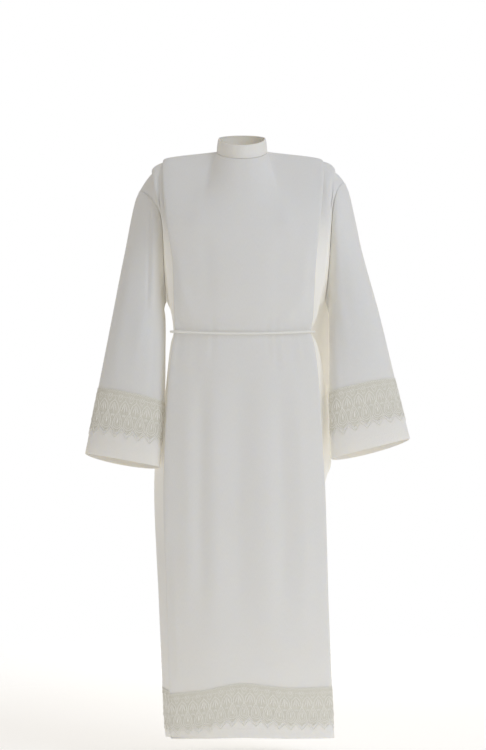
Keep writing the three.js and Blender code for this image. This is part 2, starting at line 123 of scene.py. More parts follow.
SIDE_COLUMNS = "z left right y backY"
SIDE = [
    [-200, 193, 217, -46, 72],
    [-290, 190, 212, -36, 48],
    [-368, 184, 203, -12, -12],
    [-410, 164, 170, -22, -22],
    [-446, 150, 152, -28, -28],
    [-475, 158, 162, -20, -20],
    [-540, 172, 178, -4, -4],
    [-620, 184, 190, 10, 10],
    [-770, 206, 202, 22, 22],
    [-825, 209, 192, 24, 24],
    [-1100, 196, 192, 26, 26],
    [-1416, 180, 204, 28, 28],
]
# How far the cloth hangs below its level at each mark, by the lace and at the hem.
HANG_COLUMNS = "middle halfL halfR foldL foldR ridgeL ridgeR seamL seamR"
HANG = {
    "front": {"lace": [4, 22, 16, 34, 17, 32, 19, 30, 20], "hem": [0, 3, 3, 8, 6, 19, 12, 19, 12]},
    "back": {"lace": [20, 22, 20, 26, 20, 28, 20, 30, 20], "hem": [6, 6, 6, 7, 6, 8, 6, 8, 6]},
}

# %% [markdown]
# A table tells where the cloth is at a few heights. Straight lines between them would show as
# kinks, and a common spline swings past its own marks. This reader gives each mark a slope that
# lies between the slopes on its two sides, so the cloth never bulges where no mark says so.


# %% Reading a table smoothly
def smoothstep(value, low, high):
    t = np.clip((value - low) / (high - low), 0, 1)
    return t * t * (3 - 2 * t)


def reader(rows, column):
    """A smooth curve through one column that never overshoots the column's own values."""
    height = np.array([row[0] for row in rows], float)
    value = np.array([row[column] for row in rows], float)
    slope = np.diff(value) / np.diff(height)
    before, after = np.r_[slope[0], slope], np.r_[slope, slope[-1]]
    same_way = before * after > 0
    mean = np.where(same_way, before + after, 1)
    tangent = np.where(same_way, 2 * before * after / mean, 0)

    def read(z):
        k = np.clip(np.searchsorted(-height, -np.asarray(z, float)) - 1, 0, len(slope) - 1)
        span = height[k + 1] - height[k]
        t = (z - height[k]) / span
        eased = t * t * (3 - 2 * t)
        curve = t * (1 - t) * span * (tangent[k] * (1 - t) - tangent[k + 1] * t)
        return value[k] + (value[k + 1] - value[k]) * eased + curve

    return read


def readers(columns, rows):
    return {name: reader(rows, k) for k, name in enumerate(columns.split()) if name != "z"}


read_side = readers(SIDE_COLUMNS, SIDE)
PANELS = {
    "front": {"read": readers(PANEL_COLUMNS, FRONT), "inward": 1},
    "back": {"read": readers(PANEL_COLUMNS, BACK), "inward": -1},
}
print("half-width of the front at the waist:", float(PANELS["front"]["read"]["foldL"](WAIST_Z)))

# %% [markdown]
# A spline through the marks does what a length of cloth does: it passes through every place where
# it is held and bends evenly between them. A curve with handles would need a pair of them at every
# mark, so this is a spline without any. The centripetal kind makes no loops where two marks lie
# close together, as they do at the edge of a pleat.


# %% A smooth line through marks
def flow(marks, shares, before=None, after=None):
    """Points of a line through marks, for many lines at once. marks is (..., marks, 3), and
    shares lists for each span between two marks how far along it the points lie."""
    first = before if before is not None else 2 * marks[..., 0, :] - marks[..., 1, :]
    last = after if after is not None else 2 * marks[..., -1, :] - marks[..., -2, :]
    p = np.concatenate([first[..., None, :], marks, last[..., None, :]], axis=-2)
    gap = np.sqrt(np.linalg.norm(np.diff(p, axis=-2), axis=-1))[..., None]
    points = [marks[..., :1, :]]
    for k, share in enumerate(shares):
        a, b, c, d = (p[..., k + n, None, :] for n in range(4))
        ab, bc, cd = (gap[..., k + n, None, :] for n in range(3))
        leave = ((b - a) / ab - (c - a) / (ab + bc) + (c - b) / bc) * bc
        arrive = ((c - b) / bc - (d - b) / (bc + cd) + (d - c) / cd) * bc
        t = np.asarray(share)[..., None]
        curve = (2 * b - 2 * c + leave + arrive) * t**3
        curve = curve + (3 * c - 3 * b - 2 * leave - arrive) * t**2 + leave * t + b
        points.append(curve)
    return np.concatenate(points, axis=-2)


def even(steps):
    return np.arange(1, steps + 1) / steps


# %% [markdown]
# A panel has eleven marks from its middle to the side seam. A pleat takes four of them: its edge,
# the place just behind the edge, and the two ends of the tuck that it laps over. A pleat could be
# an extra strip laid on the panel, but on the real garment it is the same cloth, folded, and marks
# that double back keep it so.

# %% One level row of a panel
HALF_ACROSS, HALF_INWARD = 0.52, 0.2  # the mark between the middle and the first pleat
LIP, LIP_STEP = 1, 0.9  # the mark behind a pleat's edge: how far in, and its share of the step


def panel_marks(panel, side, z):
    """The marks of half a panel at the heights z, as (heights, 11, 3)."""
    read, inward = PANELS[panel]["read"], PANELS[panel]["inward"]
    hand = "L" if side == LEFT else "R"
    lace_hang = dict(zip(HANG_COLUMNS.split(), HANG[panel]["lace"]))
    hem_hang = dict(zip(HANG_COLUMNS.split(), HANG[panel]["hem"]))
    swing = smoothstep(-z, -HEM_SWING_Z, -(HEM_Z + LACE_TOP))
    to_hem = smoothstep(-z, -(HEM_Z + LACE_TIP), -HEM_Z)

    def point(x, y, mark):
        hang = swing * (lace_hang[mark] * (1 - to_hem) + hem_hang[mark] * to_hem)
        return np.stack([x, y, z - hang], axis=-1)

    def pleat(mark, tuck, step):
        x, y, name = read[mark + hand](z), read[mark + "Y"](z), mark + hand
        return [
            point(side * x, y, name),
            point(side * (x - LIP), y + step * LIP_STEP, name),
            point(side * (x - tuck), y + step, name),
            point(side * (x - tuck), y + step * 2, name),
        ]

    first = pleat("fold", read["tuck"](z), read["step"](z) * inward)
    second = pleat("ridge", read["ridgeTuck"](z), read["ridgeStep"](z) * inward)
    middle = read["middle"](z)
    half_y = middle + (first[0][..., 1] - middle) * HALF_INWARD
    seam_y = read_side["y"](z)
    if panel == "back":
        seam_y = np.where(z > UNDERARM_Z, read_side["backY"](z), seam_y)
    seam_x = side * read_side["left" if side == LEFT else "right"](z)
    middle_mark = point(0 * z, middle, "middle")
    half_mark = point(first[0][..., 0] * HALF_ACROSS, half_y, "half" + hand)
    seam_mark = point(seam_x, seam_y, "seam" + hand)
    return np.stack([middle_mark, half_mark, *first, *second, seam_mark], axis=-2)


# Into how many steps each span between two marks is cut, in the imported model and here. The last
# span, up to the seam, is cut by shares that get closer to each other where the cloth turns in.
SOLID_STRIPS = np.array([5, 2, 1, 1, 1, 2, 1, 1, 1, 2])
STRIPS = [14, 12, 4, 5, 3, 14, 3, 3, 3]
SEAM_SHARES = np.array([0.2, 0.4, 0.6, 0.78, 0.9, 0.96, 1.0])


def seam_gap(z):
    away = (z - WAIST_Z) / SLIT_HALF
    return SEAM / 2 + SLIT_OPEN * np.maximum(0, 1 - away**2) ** 2


def panel_rows(panel, side, z):
    marks = panel_marks(panel, side, z)
    mirrored = marks[:, 1] * [-1, 1, 1]
    beyond = panel_marks("back" if panel == "front" else "front", side, z)[:, 9]
    length = np.linalg.norm(marks[:, 10] - marks[:, 9], axis=-1)
    seam_shares = SEAM_SHARES * (1 - seam_gap(z) / length)[:, None]
    return flow(marks, [even(n) for n in STRIPS] + [seam_shares], mirrored, beyond)


print("points across half a panel:", panel_rows("front", LEFT, np.array([-300.0])).shape[1])

# %% [markdown]
# Above the chest the cloth runs up to its highest line: the neckline, and then the shoulder seam.
# Level rows can't go on there, because the shoulders slope. So each column of cloth gets a curve
# from that line down to the chest. How it leaves the line is what gives the shoulders their slope,
# so those few numbers are given.

# %% The neckline and the shoulder seam
SHOULDER_Y = 8
# Each pleat where it meets the shoulder seam: its x and z, how far its tuck goes in, and its step.
SHOULDER_FOLD = {LEFT: (192, -22), RIGHT: (197, -23), "tuck": 16, "step": 5}
SHOULDER_RIDGE = {LEFT: (221, -49), RIGHT: (228, -48), "tuck": 4, "step": 2.5}
SHOULDER_TIP = {LEFT: (250, -98), RIGHT: (251, -78)}
SHOULDER_RISE = 0.2  # how steeply the seam climbs under a tuck
SHOULDER_ROUND = {LEFT: (8, 5), RIGHT: (11, 5)}  # how far the two spans by the ridge arch up
YOKE_PULL, SLOPE_STEP = 60, 15  # how far the chest's own slope reaches up, and how it is measured


def neck_point(angle, side):
    """The neckline, at an angle from the centre front round to the back."""
    share = np.abs(np.cos(angle))
    front = angle < math.pi / 2
    y = SHOULDER_Y + (np.where(front, NECK_FRONT, NECK_BACK) - SHOULDER_Y) * share
    z = NECK_SIDE_Z + (np.where(front, NECK_FRONT_Z, NECK_BACK_Z) - NECK_SIDE_Z) * share
    return np.stack([side * NECK_HALF * np.sin(angle), y, z], axis=-1)


def shoulder_marks(side, inward):
    y = SHOULDER_Y - inward * SEAM / 2
    neck = neck_point(np.array(math.pi / 2), side)
    marks = [(neck[0], y, neck[2])]
    for pleat in (SHOULDER_FOLD, SHOULDER_RIDGE):
        (x, z), back, drop = pleat[side], pleat["tuck"], pleat["step"]
        marks.append((side * x, y, z))
        marks.append((side * (x - LIP), y, z - drop * LIP_STEP))
        marks.append((side * (x - back), y, z + back * SHOULDER_RISE - drop))
        marks.append((side * (x - back), y, z + back * SHOULDER_RISE - drop * 2))
    x, z = SHOULDER_TIP[side]
    marks.append((side * x, y, z))
    return np.array(marks)


def top_edge(panel, side):
    inward = PANELS[panel]["inward"]
    turn = np.r_[0, even(STRIPS[0])[:-1]] * math.pi / 2
    neck = neck_point(turn if inward > 0 else math.pi - turn, side)
    spans = [even(n) for n in STRIPS[1:]] + [SEAM_SHARES]
    seam = flow(shoulder_marks(side, inward), spans)
    first = 1 + sum(STRIPS[1:5])
    starts = (first, len(seam) - len(SEAM_SHARES))
    for rise, start, span in zip(SHOULDER_ROUND[side], starts, (spans[4], spans[8])):
        seam[start:start + len(span), 2] += rise * np.sin(math.pi * span)
    return np.concatenate([neck, seam])


# %% [markdown]
# Cloth leaves the shoulder seam forwards and only then falls. Every column could have a direction
# of its own, but three are enough: at the middle of the neck, at its side and at the shoulder's
# tip. Between them the direction changes evenly.

# %% How the cloth leaves that line
OUT_MIDDLE, OUT_NECK_SIDE, OUT_TIP = 22, 42, 30
DROP_MIDDLE, DROP_SHOULDER, DROP_TIP = 26, 6, 11
DROP_NECK_SIDE = {"front": 18, "back": 2}
SIDEWAYS_NECK, SIDEWAYS_TIP = 8, -24
TIP_COLUMNS = 5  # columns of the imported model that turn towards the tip


def solid_columns():
    """Where the columns of cloth lie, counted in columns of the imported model."""
    counts = [np.zeros(1)]
    for k, share in enumerate([even(n) for n in STRIPS] + [SEAM_SHARES]):
        counts.append(SOLID_STRIPS[:k].sum() + SOLID_STRIPS[k] * share)
    return np.concatenate(counts)


def leaving(panel, side):
    column = solid_columns()
    inward, side_drop = PANELS[panel]["inward"], DROP_NECK_SIDE[panel]
    neck, last = SOLID_STRIPS[0], SOLID_STRIPS.sum()
    round_neck = np.clip(column / neck, 0, 1)
    along = np.clip((column - neck) / (last - neck), 0, 1)
    tip = np.clip((column - (last - TIP_COLUMNS)) / TIP_COLUMNS, 0, 1)
    x = SIDEWAYS_NECK * np.where(column < neck, round_neck, 1 - along) + SIDEWAYS_TIP * tip**2
    y = OUT_MIDDLE + (OUT_NECK_SIDE - OUT_MIDDLE) * round_neck + (OUT_TIP - OUT_NECK_SIDE) * tip
    fall = DROP_MIDDLE + (side_drop - DROP_MIDDLE) * round_neck
    fall = fall + (DROP_SHOULDER - side_drop) * np.clip(along * 2, 0, 1)
    fall = fall + (DROP_TIP - fall) * tip
    return np.stack([side * x, -inward * y, -fall], axis=-1)


# %% [markdown]
# A sleeve has to find its place on the armhole. Even rows would be simpler, but these are counted
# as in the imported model, and each is then divided into finer ones: a row of cloth every 5 mm or so
# down to the underarm, where the creases are sharpest, and every 8 mm at most below it.

# %% A whole panel
YOKE_ROWS = [0, 0.1, 0.24, 0.4, 0.58, 0.78, 1]
BODY_ROWS = [CHEST_Z, -245, -290, -330, UNDERARM_Z, -390, -415, -433, WAIST_Z, -459, -480, -520]
BODY_ROWS += [-580, -660, -740, -790, -850, -960, -1080, -1200]
BODY_ROWS += [HEM_Z + LACE_TOP, HEM_Z + LACE_TIP, HEM_Z]
ARMHOLE_ROWS = len(YOKE_ROWS) - 1 + BODY_ROWS.index(UNDERARM_Z)
FINE = 8  # rows of cloth for each row of the armhole
ROW_BELOW = 8  # how far two rows lie apart at most below the underarm


def divided(values, steps):
    """The values with each interval cut into steps equal parts."""
    parts = [a + (b - a) * np.arange(n) / n for a, b, n in zip(values, values[1:], steps)]
    return np.r_[np.concatenate(parts), values[-1]]


body_steps = [
    FINE if upper > UNDERARM_Z else math.ceil((upper - lower) / ROW_BELOW)
    for upper, lower in zip(BODY_ROWS, BODY_ROWS[1:])
]
BODY_Z = divided(BODY_ROWS, body_steps)
YOKE_T = divided(YOKE_ROWS, [FINE] * (len(YOKE_ROWS) - 1))[:-1]


def half_panel(panel, side):
    body = panel_rows(panel, side, BODY_Z)
    below = panel_rows(panel, side, np.array([CHEST_Z - SLOPE_STEP], float))[0]
    top, chest = top_edge(panel, side), body[0]
    start = top + leaving(panel, side)
    end = chest + (chest - below) * YOKE_PULL / SLOPE_STEP
    t = YOKE_T[:, None, None]
    yoke = top * (1 - t) ** 3 + 3 * start * t * (1 - t) ** 2
    yoke = yoke + 3 * end * t**2 * (1 - t) + chest * t**3
    return np.concatenate([yoke, body])


def panel_points(panel):
    """A panel as rows of points, its columns running so that its outer face shows."""
    left, right = half_panel(panel, LEFT), half_panel(panel, RIGHT)
    first, second = (left, right) if panel == "front" else (right, left)
    return np.concatenate([first[:, :0:-1], second], axis=1)


front, back = panel_points("front"), panel_points("back")
print("a panel is", front.shape[0], "rows of", front.shape[1], "points")

# %% [markdown]
# Real cloth is never as even as a spline. Where the sleeve pulls at it and where the cord gathers
# it, soft folds run off. A noise texture could ruffle it, but noise puts no fold where it belongs.
# So folds are pressed in like strokes of a finger: each stroke is a short path over the front or
# the back, with a width and a height, and it fades out at both ends.

# %% Pressing folds into a sheet
FACES_FROM, FACES_FULL = 0.05, 0.45  # how squarely cloth has to face the stroke to take it
STROKE_FADE = 0.3  # the share of a stroke's length over which it fades at each end
def outwards(points, closed=False):
    down = np.gradient(points, axis=0)
    if closed:
        across = np.roll(points, -1, axis=1) - np.roll(points, 1, axis=1)
    else:
        across = np.gradient(points, axis=1)
    out = np.cross(down, across)
    return out / np.linalg.norm(out, axis=-1, keepdims=True)


def press_folds(points, out, strokes, facing):
    """Moves the cloth along its outward direction. A stroke is a path of (x, z), a width and a
    height, and it is seen from facing: -1 for the front and +1 for the back."""
    toward = smoothstep(out[..., 1] * facing, FACES_FROM, FACES_FULL)
    lift = np.zeros(points.shape[:-1])
    place = points[..., [0, 2]]
    for path, width, height in strokes:
        path = np.array(path, float)
        legs = np.linalg.norm(np.diff(path, axis=0), axis=-1)
        done, best, at = 0, np.full(lift.shape, np.inf), np.zeros(lift.shape)
        for a, b, leg in zip(path, path[1:], legs):
            share = np.clip(((place - a) @ (b - a)) / leg**2, 0, 1)
            away = np.linalg.norm(place - (a + share[..., None] * (b - a)), axis=-1)
            nearer = away < best
            best = np.where(nearer, away, best)
            at = np.where(nearer, (done + share * leg) / legs.sum(), at)
            done += leg
        fade = smoothstep(at, 0, STROKE_FADE) * smoothstep(1 - at, 0, STROKE_FADE)
        lift += height * np.exp(-((best / width) ** 2)) * fade * toward
    return points + out * lift[..., None]


# %% [markdown]
# The cord ties the garment in, so most folds start there: long soft ones down the skirt, shorter
# ones up towards the chest, and many little gathers right at the cord. One side could be mirrored
# from the other, but that would look stamped, so left and right differ.

# %% The folds of the body
CORD_SAG, CORD_HALF = 5.5, 165  # the cord hangs a little lower at the middle of the front
SAG_FROM_Y, SAG_FULL_Y = 60, 95  # how far forward the sag begins, and where it is whole


def cord_height(x, y):
    sag = CORD_SAG * np.clip(1 - (x / CORD_HALF) ** 2, 0, 1)
    return WAIST_Z - sag * smoothstep(-y, SAG_FROM_Y, SAG_FULL_Y)


# Each stroke has its path, its width and its height, which is below zero for a valley.
FRONT_FOLDS = [
    # down the skirt
    ([(-60, -470), (-66, -700), (-62, -1000), (-70, -1270)], 24, 4.0),
    ([(40, -480), (52, -760), (56, -1080), (64, -1280)], 28, 3.6),
    ([(-120, -480), (-132, -640), (-128, -900), (-134, -1200)], 18, 3.6),
    ([(118, -470), (140, -700), (150, -980), (148, -1260)], 20, 3.8),
    ([(0, -520), (-8, -800), (-4, -1200)], 22, -3.0),
    ([(90, -520), (98, -800), (104, -1220)], 16, -2.8),
    ([(-94, -500), (-98, -760), (-96, -1180)], 14, -2.6),
    # creases beside the left pleat
    ([(-180, -900), (-172, -1100), (-160, -1300)], 5, -1.6),
    ([(-166, -980), (-160, -1150), (-150, -1330)], 7, 1.4),
    # from the sides and the chest down to the cord
    ([(-150, -330), (-120, -395), (-100, -440)], 12, 3.0),
    ([(150, -335), (124, -395), (104, -440)], 12, 3.0),
    ([(-152, -230), (-146, -330), (-140, -430)], 12, 2.6),
    ([(154, -225), (150, -330), (142, -430)], 12, 2.6),
    ([(-92, -190), (-84, -300), (-78, -420)], 20, -2.4),
    ([(96, -190), (88, -300), (80, -420)], 20, -2.4),
    # outwards from the neck
    ([(-58, -60), (-96, -130), (-120, -240)], 20, 3.0),
    ([(58, -60), (98, -130), (122, -240)], 20, 3.0),
    # pressed creases at the shoulders
    ([(-204, -40), (-203, -100), (-199, -170)], 4, -3.4),
    ([(-212, -50), (-211, -120), (-206, -190)], 5, 1.6),
    ([(228, -52), (221, -90), (217, -170)], 4, -3.0),
    ([(208, -60), (206, -120), (202, -190)], 7, 1.6),
]
BACK_FOLDS = [
    # down the skirt
    ([(-70, -470), (-84, -760), (-92, -1100), (-96, -1290)], 26, 6.0),
    ([(10, -480), (6, -800), (14, -1260)], 24, 5.4),
    ([(92, -470), (108, -760), (112, -1100), (120, -1290)], 26, 6.0),
    ([(-140, -500), (-150, -800), (-152, -1200)], 16, 4.0),
    ([(-34, -520), (-42, -820), (-40, -1240)], 18, -5.0),
    ([(54, -520), (60, -820), (66, -1240)], 18, -5.0),
    # from the sides down to the cord
    ([(-150, -250), (-128, -350), (-100, -440)], 15, 4.0),
    ([(156, -250), (136, -350), (104, -440)], 15, 4.0),
    # down the upper back
    ([(-40, -90), (-52, -200), (-48, -330)], 24, 3.6),
    ([(44, -90), (56, -200), (50, -330)], 24, 3.6),
    ([(0, -160), (4, -280), (0, -420)], 22, -3.2),
]
# Each little fold at the cord: its place x, its length above and below, and its depth.
GATHERS = [
    [-146, 70, 110, 2.6], [-126, 46, 80, 1.8], [-107, 84, 130, 2.4], [-88, 40, 70, 1.6],
    [-69, 60, 90, 2.2], [62, 52, 84, 2.0], [80, 72, 120, 2.4], [101, 44, 76, 1.8],
    [121, 86, 128, 2.6], [141, 50, 92, 2.0],
]
GATHER_WIDTH, GATHER_SPREAD = 6, 0.1  # the little folds fan out, away from the cord


def gathers(depth_share, mirror):
    """The short folds that run up and down from the cord, as strokes."""
    strokes = []
    for x, above, below, depth in GATHERS:
        near, far = x * mirror, x * mirror * (1 + GATHER_SPREAD)
        path = [(far, WAIST_Z + above), (near, WAIST_Z), (far, WAIST_Z - below)]
        strokes.append((path, GATHER_WIDTH, -depth * depth_share))
    return strokes


# %% [markdown]
# The cloth swells a little above and below the cord that draws it in, and it turns in where it is
# sewn. Both could go into the tables, but they are narrower than the tables' rows are apart. So
# they are added as heights, by the distance from the cord or along the cloth from the seam.

# %% Swelling at the cord, turning in at the seams
CORD_BULGE, CORD_BULGE_OFF, CORD_BULGE_WIDTH = 2.0, 11, 7
BULGE_FROM, BULGE_FULL = 0.3, 0.8  # how squarely cloth has to face forward or back to swell
SEAM_DIP, SEAM_DIP_WIDTH, ROLL_AT = 0.45, 2.5, 5


def waist_bulge(points, out):
    away = np.abs(points[..., 2] - cord_height(points[..., 0], points[..., 1]))
    ring = np.exp(-(((away - CORD_BULGE_OFF) / CORD_BULGE_WIDTH) ** 2))
    outside = smoothstep(np.abs(out[..., 1]), BULGE_FROM, BULGE_FULL)
    return points + out * (CORD_BULGE * ring * outside)[..., None]


def running(points, axis):
    """How far each point lies from the sheet's first edge, measured along the cloth."""
    steps = np.linalg.norm(np.diff(points, axis=axis), axis=-1)
    return np.cumsum(np.insert(steps, 0, 0, axis=axis), axis=axis)


def seam_dip(points, out, edges, roll=0):
    """edges names the sides of the sheet that end in a seam. Next to the armhole the turned edges
    inside lift a sleeve into a low roll."""
    lower = np.zeros(points.shape[:-1])
    for axis, at in edges:
        run = running(points, axis)
        away = run if at == 0 else np.take(run, [-1], axis=axis) - run
        lower = np.maximum(lower, np.exp(-((away / SEAM_DIP_WIDTH) ** 2)))
        lower = lower - roll * np.exp(-(((away - ROLL_AT) / SEAM_DIP_WIDTH) ** 2))
    return points - out * (SEAM_DIP * lower)[..., None]


SEWN_EDGES = [(1, 0), (1, -1), (0, 0)]
folded_front = press_folds(front, outwards(front), FRONT_FOLDS + gathers(1.0, 1), -1)
folded_front = waist_bulge(folded_front, outwards(folded_front))
folded_front = seam_dip(folded_front, outwards(folded_front), SEWN_EDGES)
folded_back = press_folds(back, outwards(back), BACK_FOLDS + gathers(1.4, -1), 1)
folded_back = seam_dip(folded_back, outwards(folded_back), SEWN_EDGES)
print("folds pressed:", len(FRONT_FOLDS), "in front,", len(BACK_FOLDS), "behind")

# %% [markdown]
# Every sheet becomes a mesh in the same way. A grid primitive could be bent into place, but its
# points are known already, so the mesh is made from them. Its UV map is the cloth itself laid flat,
# in metres: across it, and up from its lower edge. A weave or a row of stitches on that map keeps
# its true size wherever the sheet bends. Solidify then gives the cloth its thickness, inwards, so
# that the outer face stays where the model has it.

# %% From rows of points to a sheet of cloth
SMOOTH_TO = 55  # degrees; a sharper edge stays an edge
def cloth_uv(points, closed):
    """Where each point lies on the flat cloth, in metres. A closed ring gets one more column."""
    if closed:
        points = np.concatenate([points, points[:, :1]], axis=1)
    across = running(points, 1)
    if not closed:
        across = across - across[:, -1:] / 2
    up = running(points[::-1], 0)[::-1]
    return np.stack([across, up], axis=-1) * MM


def faces_of(rows, columns, closed=False):
    i, j = np.meshgrid(np.arange(rows - 1), np.arange(columns if closed else columns - 1), indexing="ij")
    after = (j + 1) % columns
    corners = [i * columns + j, (i + 1) * columns + j, (i + 1) * columns + after, i * columns + after]
    return np.stack(corners, axis=-1).reshape(-1, 4).tolist()


def mesh_object(name, points, faces, uv_per_corner, thin=None):
    mesh = bpy.data.meshes.new(name)
    mesh.from_pydata((points.reshape(-1, 3) * MM).tolist(), [], faces)
    # thin carries the weight of the painted glow at each point, which the body's finish reads as painted
    # light
    if thin is not None:
        layer = mesh.attributes.new("painted_glow", "FLOAT", "POINT")
        layer.data.foreach_set("value", thin.astype(np.float32).ravel())
    layer = mesh.uv_layers.new(name="cloth")
    layer.data.foreach_set("uv", uv_per_corner.astype(np.float32).ravel())
    piece = bpy.data.objects.new(name, mesh)
    bpy.context.collection.objects.link(piece)
    return piece


def make_active(piece):
    bpy.ops.object.select_all(action="DESELECT")
    piece.select_set(True)
    bpy.context.view_layer.objects.active = piece


def thicken(piece, wall):
    make_active(piece)
    bpy.ops.object.modifier_add(type="SOLIDIFY")
    solidify = piece.modifiers[-1]
    solidify.thickness = wall * MM
    solidify.offset = -1
    solidify.use_rim = True
    bpy.ops.object.modifier_apply(modifier=solidify.name)
    bpy.ops.object.shade_smooth_by_angle(angle=math.radians(SMOOTH_TO))


def sheet_object(name, points, closed=False, wall=CLOTH, thin=None):
    rows, columns = points.shape[:2]
    uv = cloth_uv(points, closed)
    corners = np.stack([uv[:-1, :-1], uv[1:, :-1], uv[1:, 1:], uv[:-1, 1:]], axis=2)
    piece = mesh_object(name, points, faces_of(rows, columns, closed), corners, thin)
    thicken(piece, wall)
    print(name, "has", len(piece.data.polygons), "faces")
    return piece


# %% [markdown]
# Between a sleeve and the body a single layer hangs free. Light from behind comes through it, so it
# looks warmer and brighter there. A translucent shader could show that, but the garment is empty,
# and all of it would shine. So that light is painted on: each point of the two panels gets a number
# of painted glow, which is 1 where a single layer hangs free and 0 over the rest. The finish reads it,
# paints the cloth a lighter cream there and makes it glow faintly: painted light.

# %% Where the light through the cloth is painted on
# where the painted light of the free single layer begins and fades out
GLOW_FROM, GLOW_FULL, GLOW_LOW, GLOW_GONE = -120, -290, -700, -1050  # heights
GLOW_BEFORE, GLOW_AFTER = 1, 4  # the columns over which it begins


def painted_glow_places(points, first):
    """1 from the column first of each half on to the side seam, 0 over the middle of the panel."""
    z = points[..., 2]
    middle = points.shape[1] // 2
    column = np.abs(np.arange(points.shape[1]) - middle)
    side = smoothstep(column, first - GLOW_BEFORE, first + GLOW_AFTER)
    high = smoothstep(-z, -GLOW_FROM, -GLOW_FULL) * (1 - smoothstep(-z, -GLOW_LOW, -GLOW_GONE))
    return side * high


front_painted_glow = painted_glow_places(folded_front, sum(STRIPS[:4]))
back_painted_glow = painted_glow_places(folded_back, sum(STRIPS[:5]))
body_front = sheet_object("body_front_cloth", folded_front, thin=front_painted_glow)
body_back = sheet_object("body_back_cloth", folded_back, thin=back_painted_glow)

# %% [markdown]
# A sleeve is a tube that is sewn into the armhole and widens to the cuff. It could be a cylinder
# that is cut at a slant and bridged to the body, but its edge would miss the armhole's own points.
# So its columns start at the very places where the armhole's rows end, and the two sheets meet all
# round the seam. They run down through four rings that say how wide and how flat the sleeve hangs.

# %% The rings of the sleeves
# Each ring goes through its inner and its outer point, and bows out in front and behind.
RING_COLUMNS = "inner_x inner_y inner_z outer_x outer_y outer_z bow_front bow_back"
SLEEVE_RINGS = {
    LEFT: [
        [-187, -22, -408, -291, -2, -272, 54, 62],
        [-186, -44, -505, -317, -20, -410, 44, 50],
        [-187, -66, -618, -350, -42, -584, 38, 42],
        [-198, -86, -773, -380, -66, -741, 34, 44],
    ],
    RIGHT: [
        [212, -24, -408, 297, -2, -262, 52, 54],
        [212, -46, -500, 334, -20, -398, 44, 46],
        [211, -68, -594, 372, -42, -560, 38, 42],
        [215, -88, -753, 407, -66, -705, 36, 46],
    ],
}
SEWN = 0.1  # the gap at the armhole's seam
SLEEVE_LEAD = 24  # so far the cloth keeps the way in which it leaves the armhole
LEAVE_OUT, LEAVE_FORWARD, LEAVE_DOWN = 0.42, 0.45, 0.9
UNDERARM_OUT, UNDERARM_DOWN = -0.17, 0.05  # what the underarm adds to that way
FRONT_LIFT = [10, 10, 8, 3]  # how far the front of each ring lies over its axis
BACK_DROP = [10, 10, 11, 14]  # how far the back of each ring lies under it
CUFF_LACE_TIP = 0.7  # share of the way from the lace's upper edge to the sleeve's hem
CUFF_STEPS = 20
# The rows from one ring to the next. They are closest at the armhole, where the cloth is rolled.
SLEEVE_SHARES = [np.array([0.06, 0.13, 0.21, 0.31, 0.45, 0.68, 1])]
SLEEVE_SHARES += [even(14), even(14), even(16), even(CUFF_STEPS)]


def ring_point(ring, angle, lift, drop):
    r = dict(zip(RING_COLUMNS.split(), ring))
    share = (1 - np.cos(angle)) / 2
    bow = np.where(np.sin(angle) > 0, -r["bow_front"], -r["bow_back"])
    x = r["inner_x"] + (r["outer_x"] - r["inner_x"]) * share
    y = r["inner_y"] + (r["outer_y"] - r["inner_y"]) * share + bow * np.sin(angle)
    z = r["inner_z"] + (r["outer_z"] - r["inner_z"]) * share
    z = z + np.where(np.sin(angle) > 0, lift, drop) * np.sin(angle)
    return np.stack([x, y, z], axis=-1)


def sleeve_start(side, angle):
    """The way that the cloth leaves the armhole: out, forward or back and down, and at the underarm
    more nearly straight down."""
    below = (1 + np.cos(angle)) / 2
    out, down = LEAVE_OUT + UNDERARM_OUT * below, LEAVE_DOWN + UNDERARM_DOWN * below
    way = np.stack([side * out, -LEAVE_FORWARD * np.sin(angle), -down], axis=-1)
    return way / np.linalg.norm(way, axis=-1, keepdims=True)


def sleeve_points(side):
    last = ARMHOLE_ROWS * FINE
    front_edge = front[: last + 1, 0 if side == LEFT else -1]
    back_edge = back[1:last, -1 if side == LEFT else 0]
    edge = np.concatenate([front_edge[::-1], back_edge])
    angle = 2 * math.pi * np.arange(len(edge)) / len(edge)
    start = sleeve_start(side, angle)
    marks = [edge + start * SEWN, edge + start * SLEEVE_LEAD]
    hang = zip(SLEEVE_RINGS[side], FRONT_LIFT, BACK_DROP)
    marks += [ring_point(ring, angle, lift, fall) for ring, lift, fall in hang]
    points = flow(np.stack(marks, axis=1), SLEEVE_SHARES).transpose(1, 0, 2)
    return points[:, ::-1] if side == LEFT else points


# %% [markdown]
# A sleeve's folds start where it is held: at the top of the armhole and at the underarm. They could
# come from a simulation of the tube, but strokes are surer, and the helper that pressed them into
# the body does it here too, once as seen from the front and once from behind.

# %% The folds of the sleeves
SLEEVE_FOLDS = {
    LEFT: [
        ([(-226, -90), (-225, -180), (-226, -300), (-230, -420)], 4, -2.6),
        ([(-216, -100), (-214, -200), (-215, -320), (-220, -450)], 8, 2.8),
        ([(-262, -170), (-280, -320), (-300, -480), (-320, -640)], 18, 2.0),
        ([(-214, -330), (-240, -420), (-262, -540)], 14, 2.0),
        ([(-206, -400), (-214, -520), (-222, -650)], 10, -1.8),
    ],
    RIGHT: [
        ([(262, -110), (286, -240), (316, -400), (346, -560)], 20, 2.2),
        ([(236, -150), (246, -300), (262, -460), (280, -620)], 14, -1.8),
        ([(230, -330), (252, -430), (276, -540)], 14, 2.0),
        ([(222, -420), (230, -540), (238, -650)], 10, 1.8),
    ],
}
SLEEVE_BACK_FOLDS = {
    LEFT: [
        ([(-240, -180), (-262, -340), (-290, -560)], 18, 3.0),
        ([(-214, -330), (-226, -460), (-240, -640)], 14, 2.4),
    ],
    RIGHT: [
        ([(250, -180), (276, -340), (318, -540)], 18, 3.0),
        ([(226, -330), (244, -460), (266, -620)], 14, 2.4),
    ],
}

SLEEVE_ROLL = 2  # how high the roll stands, against the dip at the seam

